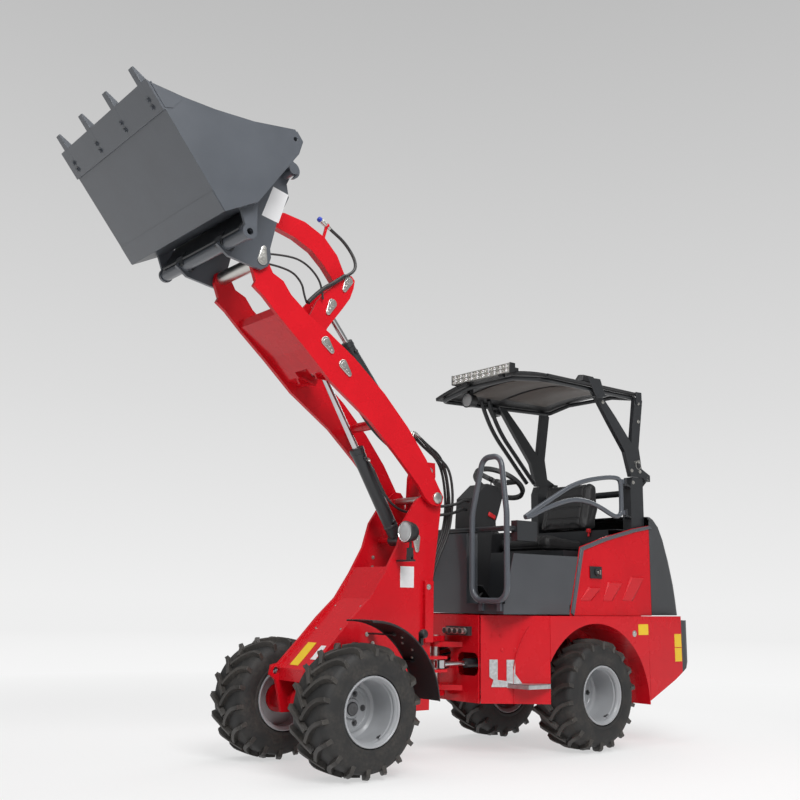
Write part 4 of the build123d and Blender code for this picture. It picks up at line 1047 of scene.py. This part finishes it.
pedals = Form()
for y in (-260, 150):
    place = facing(at(-250, y, 925), (-0.75, 0, 0.66))
    pedals.prism(place, [(-50, -34), (50, -34), (54, 0), (50, 34), (-50, 34), (-54, 0)], 0, 8)
    for k in range(6):
        across = -40 + k * 16
        pedals.prism(place, [(across, -30), (across + 6, -30), (across + 6, 30), (across, 30)], 8, 11)
    pedals.spin((-250, y, 925), (0.75, 0, -0.66), [(7, 0), (7, 70)], 14)
pedals.piece("pedals", "black_plastic", "rear", bevel=1)

mat = Form()
mat.block((-690, -200), (-420, 420), (861, 864))
for k in range(20):
    mat.block((-680 + k * 24, -668 + k * 24), (-410, 410), (864, 866))
mat.piece("floor_mat", "black_plastic", "rear", FINISHES["hose_rubber"], bevel=0.6)

PADS = {
    "seat_cushion": ([(-1104, 1210), (-1106, 1272), (-1058, 1264), (-930, 1274), (-805, 1288), (-752, 1280),
                      (-742, 1250), (-756, 1210)], 222, 0.010),
    "seat_back": ([(-1132, 1352), (-1172, 1500), (-1202, 1652), (-1222, 1674), (-1262, 1660), (-1276, 1500),
                   (-1238, 1352)],
                  212, 0.010)}

SEAM_Y, CUSHION_SEAMS, BACK_SEAMS = 148, (-830, -905, -980), (1430, 1505, 1580)
CLOTH_STEPS, CLOTH_PRESSURE = 20, 4


def build_pad(node):
    """Stuffed pad: its shape swells as cloth under pressure, and then takes its sewn channels."""
    outline, half, reach = PADS[node]
    form = Form()
    middle = Vector((sum(p[0] for p in outline), sum(p[1] for p in outline))) / len(outline)
    rings = []
    for y, share in ((-half, 0.86), (-half + 14, 0.97), (-half + 34, 1), (0, 1), (half - 34, 1),
                     (half - 14, 0.97), (half, 0.86)):
        ring = [middle + (Vector(p) - middle) * share for p in outline]
        rings.append([at(p.x, y, p.y) for p in ring])
    form.skin(rings)
    made = form.piece("pad_" + node, "seat_cover", "rear", crease=180)
    voxels = made.modifiers.new("voxels", "REMESH")
    voxels.mode = "VOXEL"
    voxels.voxel_size = 0.0065
    settle(made)
    for step in range(6):
        relax(made)
    before = [vertex.co.copy() for vertex in made.data.vertices]
    cloth = made.modifiers.new("cloth", "CLOTH")
    cloth.settings.use_pressure = True
    cloth.settings.uniform_pressure_force = CLOTH_PRESSURE
    cloth.settings.effector_weights.gravity = 0
    cloth.settings.quality = 6
    for moment in range(1, CLOTH_STEPS + 1):
        bpy.context.scene.frame_set(moment)
    settle(made)
    bpy.context.scene.frame_set(1)
    low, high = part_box(node)
    for vertex, start in zip(made.data.vertices, before):
        moved = vertex.co - start
        if moved.length > reach:
            vertex.co = start + moved.normalized() * reach
        for axis in range(3):
            vertex.co[axis] = min(max(vertex.co[axis], low[axis] + 0.001), high[axis] - 0.001)
    finer = made.modifiers.new("finer", "SUBSURF")
    finer.levels = finer.render_levels = 1
    settle(made)
    sew(made, node)
    made.data.shade_smooth()
    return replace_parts(made, node)


def settle(piece):
    """Apply the piece's modifiers to its mesh."""
    bpy.context.view_layer.update()
    shaped = piece.evaluated_get(bpy.context.evaluated_depsgraph_get())
    data = bpy.data.meshes.new_from_object(shaped)
    piece.modifiers.clear()
    piece.data = data


def relax(piece):
    """Even the voxel steps out of a mesh."""
    mesh = bmesh.new()
    mesh.from_mesh(piece.data)
    bmesh.ops.smooth_vert(mesh, verts=mesh.verts, factor=0.5, use_axis_x=True, use_axis_y=True,
                          use_axis_z=True)
    mesh.to_mesh(piece.data)
    mesh.free()


def sew(piece, node):
    """Press the seams' channels into the pad's surface."""
    normals = [vertex.normal.copy() for vertex in piece.data.vertices]
    for vertex, normal in zip(piece.data.vertices, normals):
        x, y, z = vertex.co.x * 1000 - PIVOT_X, vertex.co.y * 1000, vertex.co.z * 1000
        gaps = [abs(abs(y) - SEAM_Y)]
        if node == "seat_cushion":
            if abs(y) < SEAM_Y:
                gaps += [abs(x - seam) for seam in CUSHION_SEAMS]
            rim = abs(z - 1222)
        else:
            if abs(y) < SEAM_Y:
                gaps += [abs(z - seam) for seam in BACK_SEAMS]
            rim = abs(x + 1245 + (z - 1352) * 0.1)
        press = 5.5 * exp(-(min(gaps) / 6) ** 2) + 2.5 * exp(-(rim / 4) ** 2)
        vertex.co = vertex.co - normal * press / 1000


for node in PADS:
    build_pad(node)

base = Form()
base.prism(facing(at(-930, 0, 1190), (0, 0, 1), (1, 0, 0)),
           [(-170, -190), (180, -190), (180, 190), (-170, 190)], 0, 10)
base.piece("seat_plate", "black_plastic", "rear", bevel=2)

# ---- Hood: shell and louvres ----
HOOD_LEVELS = [  # height, rear end of the side, station at the cut corner, station of the rear
    (800, -1726, -1830, -1863), (900, -1708, -1815, -1858), (1000, -1690, -1796, -1848),
    (1160, -1647, -1750, -1815), (1290, -1602, -1700, -1770), (1375, -1556, -1650, -1722),
    (1420, -1505, -1600, -1672), (1436, -1490, -1570, -1640)]
hood = Form()
rows = []
for z, side, corner, rear in HOOD_LEVELS:
    half = [(-1449, 480), (side + 60, 480), (side + 14, 478), (side, 470), (corner, 398), (rear + 10, 310),
            (rear, 250), (rear, 0)]
    row = half + [(x, -y) for x, y in half[-2::-1]]
    if z > 1430:
        row = [(min(x, -1449) if abs(y) > 475 else x, y * 0.975) for x, y in row]
    rows.append([at(x, y, z) for x, y in row])
for share in (0.6, 0.001):
    rows.append([at(-1449 + (point.x * 1000 - PIVOT_X + 1449) * (0.96 if share > 0.1 else 0.94),
                    point.y * 1000 * share, 1447)
                 for point in rows[7]])
hood.skin(rows, closed=False, caps=(False, False))
bmesh.ops.remove_doubles(hood.mesh, verts=hood.mesh.verts, dist=0.0015)
shell = hood.piece("hood_shell", "grey_plastic", "hood", crease=20)
sheet = shell.modifiers.new("sheet", "SOLIDIFY")
sheet.thickness, sheet.offset = 0.005, 0
rounding = shell.modifiers.new("rounding", "BEVEL")
rounding.width, rounding.segments, rounding.angle_limit = 0.004, 2, radians(18)
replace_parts(shell, "engine_hood")

slats = Form()
for k in range(6):
    z = 1010 + k * 22
    x = -1846 + (z - 1000) * 33 / 160
    slats.skin([[at(x + 6, y, z), at(x - 4, y, z + 3), at(x + 3, y, z + 12), at(x + 12, y, z + 12)]
                for y in (-230, 230)])
slats.piece("hood_louvres", "grey_plastic", "hood", FINISHES["black_plastic"], bevel=0.8)

# ---- Floor, light and camera ----
ground = Form()
ground.skin([[Vector((x, y, -0.0015)) for x, y in ((-40, -40), (40, -40), (40, 40), (-40, 40))]],
            caps=(False, True))
floor_mesh = bpy.data.meshes.new("floor")
ground.mesh.to_mesh(floor_mesh)
ground.mesh.free()
floor = linked("floor", floor_mesh)
pale = Finish("pale_floor", roughness=0.9)
speck = pale.noise(30, 4)
pale.set({"Base Color": pale.mix(speck, (0.80, 0.80, 0.80, 1), (0.83, 0.83, 0.83, 1))})
seen = pale.add("ShaderNodeLightPath", out="Is Camera Ray")
glossy = pale.add("ShaderNodeLightPath", out="Is Glossy Ray")
through = pale.add("ShaderNodeLightPath", out="Is Transmission Ray")
distance = pale.add("ShaderNodeVectorMath", {"operation": "LENGTH"}, {0: pale.place}, out="Value")
reach = {"Value": distance, "From Min": 1.5, "From Max": 7.0, "To Min": 0.55, "To Max": 1.0}
rays = seen + glossy + through
share = rays.join("MINIMUM", rays, 1.0) * pale.add("ShaderNodeMapRange", None, reach)
far = pale.add("ShaderNodeMapRange", None,
               {"Value": distance, "From Min": 1.5, "From Max": 21.5, "To Min": 0, "To Max": 1})
tone = pale.add("ShaderNodeValToRGB", {"stops": [(0, 0.985), (0.12, 0.93), (1, 0.86)]}, {0: far})
glow = pale.add("ShaderNodeEmission", None, {"Color": tone, "Strength": 1.0})
blend = pale.add("ShaderNodeMixShader", None, {0: share, 1: Shade(pale, pale.shader.outputs[0]), 2: glow})
pale.tree.links.new(blend.socket, pale.tree.nodes["Material Output"].inputs["Surface"])
floor_mesh.materials.append(pale.material)

world = bpy.data.worlds.new("studio")
bpy.context.scene.world = world
world.use_nodes = True
sky = Nodes(world.node_tree)
ambient = sky.tree.nodes["Background"]
sky.put(ambient.inputs["Color"], (1, 1, 1, 1))
sky.put(ambient.inputs["Strength"], 0.3)
rise = sky.add("ShaderNodeSeparateXYZ", None, {0: sky.add("ShaderNodeTexCoord", out="Generated")}, "Z")
fall = sky.add("ShaderNodeValToRGB", {"stops": [(0, 0.86), (0.196, 0.716), (0.546, 0.509)]}, {0: rise})
backdrop = sky.add("ShaderNodeBackground", None, {"Color": fall})
seen = sky.add("ShaderNodeLightPath", out="Is Camera Ray")
through = sky.add("ShaderNodeLightPath", out="Is Transmission Ray")
either = seen.join("MAXIMUM", seen, through)
chosen = sky.add("ShaderNodeMixShader", None, {0: either, 1: Shade(sky, ambient.outputs[0]), 2: backdrop})
sky.put(sky.tree.nodes["World Output"].inputs["Surface"], chosen)


def softbox(name, spot, aim, size, power):
    lamp = bpy.data.lights.new(name, "AREA")
    lamp.shape = "RECTANGLE"
    lamp.size, lamp.size_y = size
    lamp.energy = power
    holder = linked(name, lamp)
    holder.location = spot
    holder.rotation_euler = (Vector(aim) - Vector(spot)).to_track_quat("-Z", "Y").to_euler()


softbox("key", (2.5, 6.5, 6.5), (0, 0, 1.2), (4.0, 4.0), 540)
softbox("fill", (5.0, -2.0, 6.5), (0, 0, 1.6), (3.0, 3.0), 70)
softbox("top", (-1.0, 0.5, 7.5), (0, 0, 1.0), (5.0, 5.0), 200)
softbox("back", (-7.0, -3.0, 4.0), (0, 0, 1.2), (4.0, 4.0), 130)

camera = linked("camera", bpy.data.cameras.new("camera"))
YAW, PITCH, ROLL = radians(231.163), radians(11.281), radians(0.841)
EYE, LENS_MM, SENSOR_MM = (3.7916, 4.6223, 0.8759), 45.05, 36
ahead = Vector((cos(PITCH) * cos(YAW), cos(PITCH) * sin(YAW), sin(PITCH)))
right = ahead.cross(Vector((0, 0, 1))).normalized()
above = right.cross(ahead)
tilted = right * cos(ROLL) + above * sin(ROLL)
upright = above * cos(ROLL) - right * sin(ROLL)
stance = Matrix((tilted, upright, -ahead)).transposed().to_4x4()
stance.translation = EYE
camera.matrix_world = stance
camera.data.sensor_width = SENSOR_MM
camera.data.lens = LENS_MM
bpy.context.scene.camera = camera
bpy.context.scene.view_settings.view_transform = "Standard"
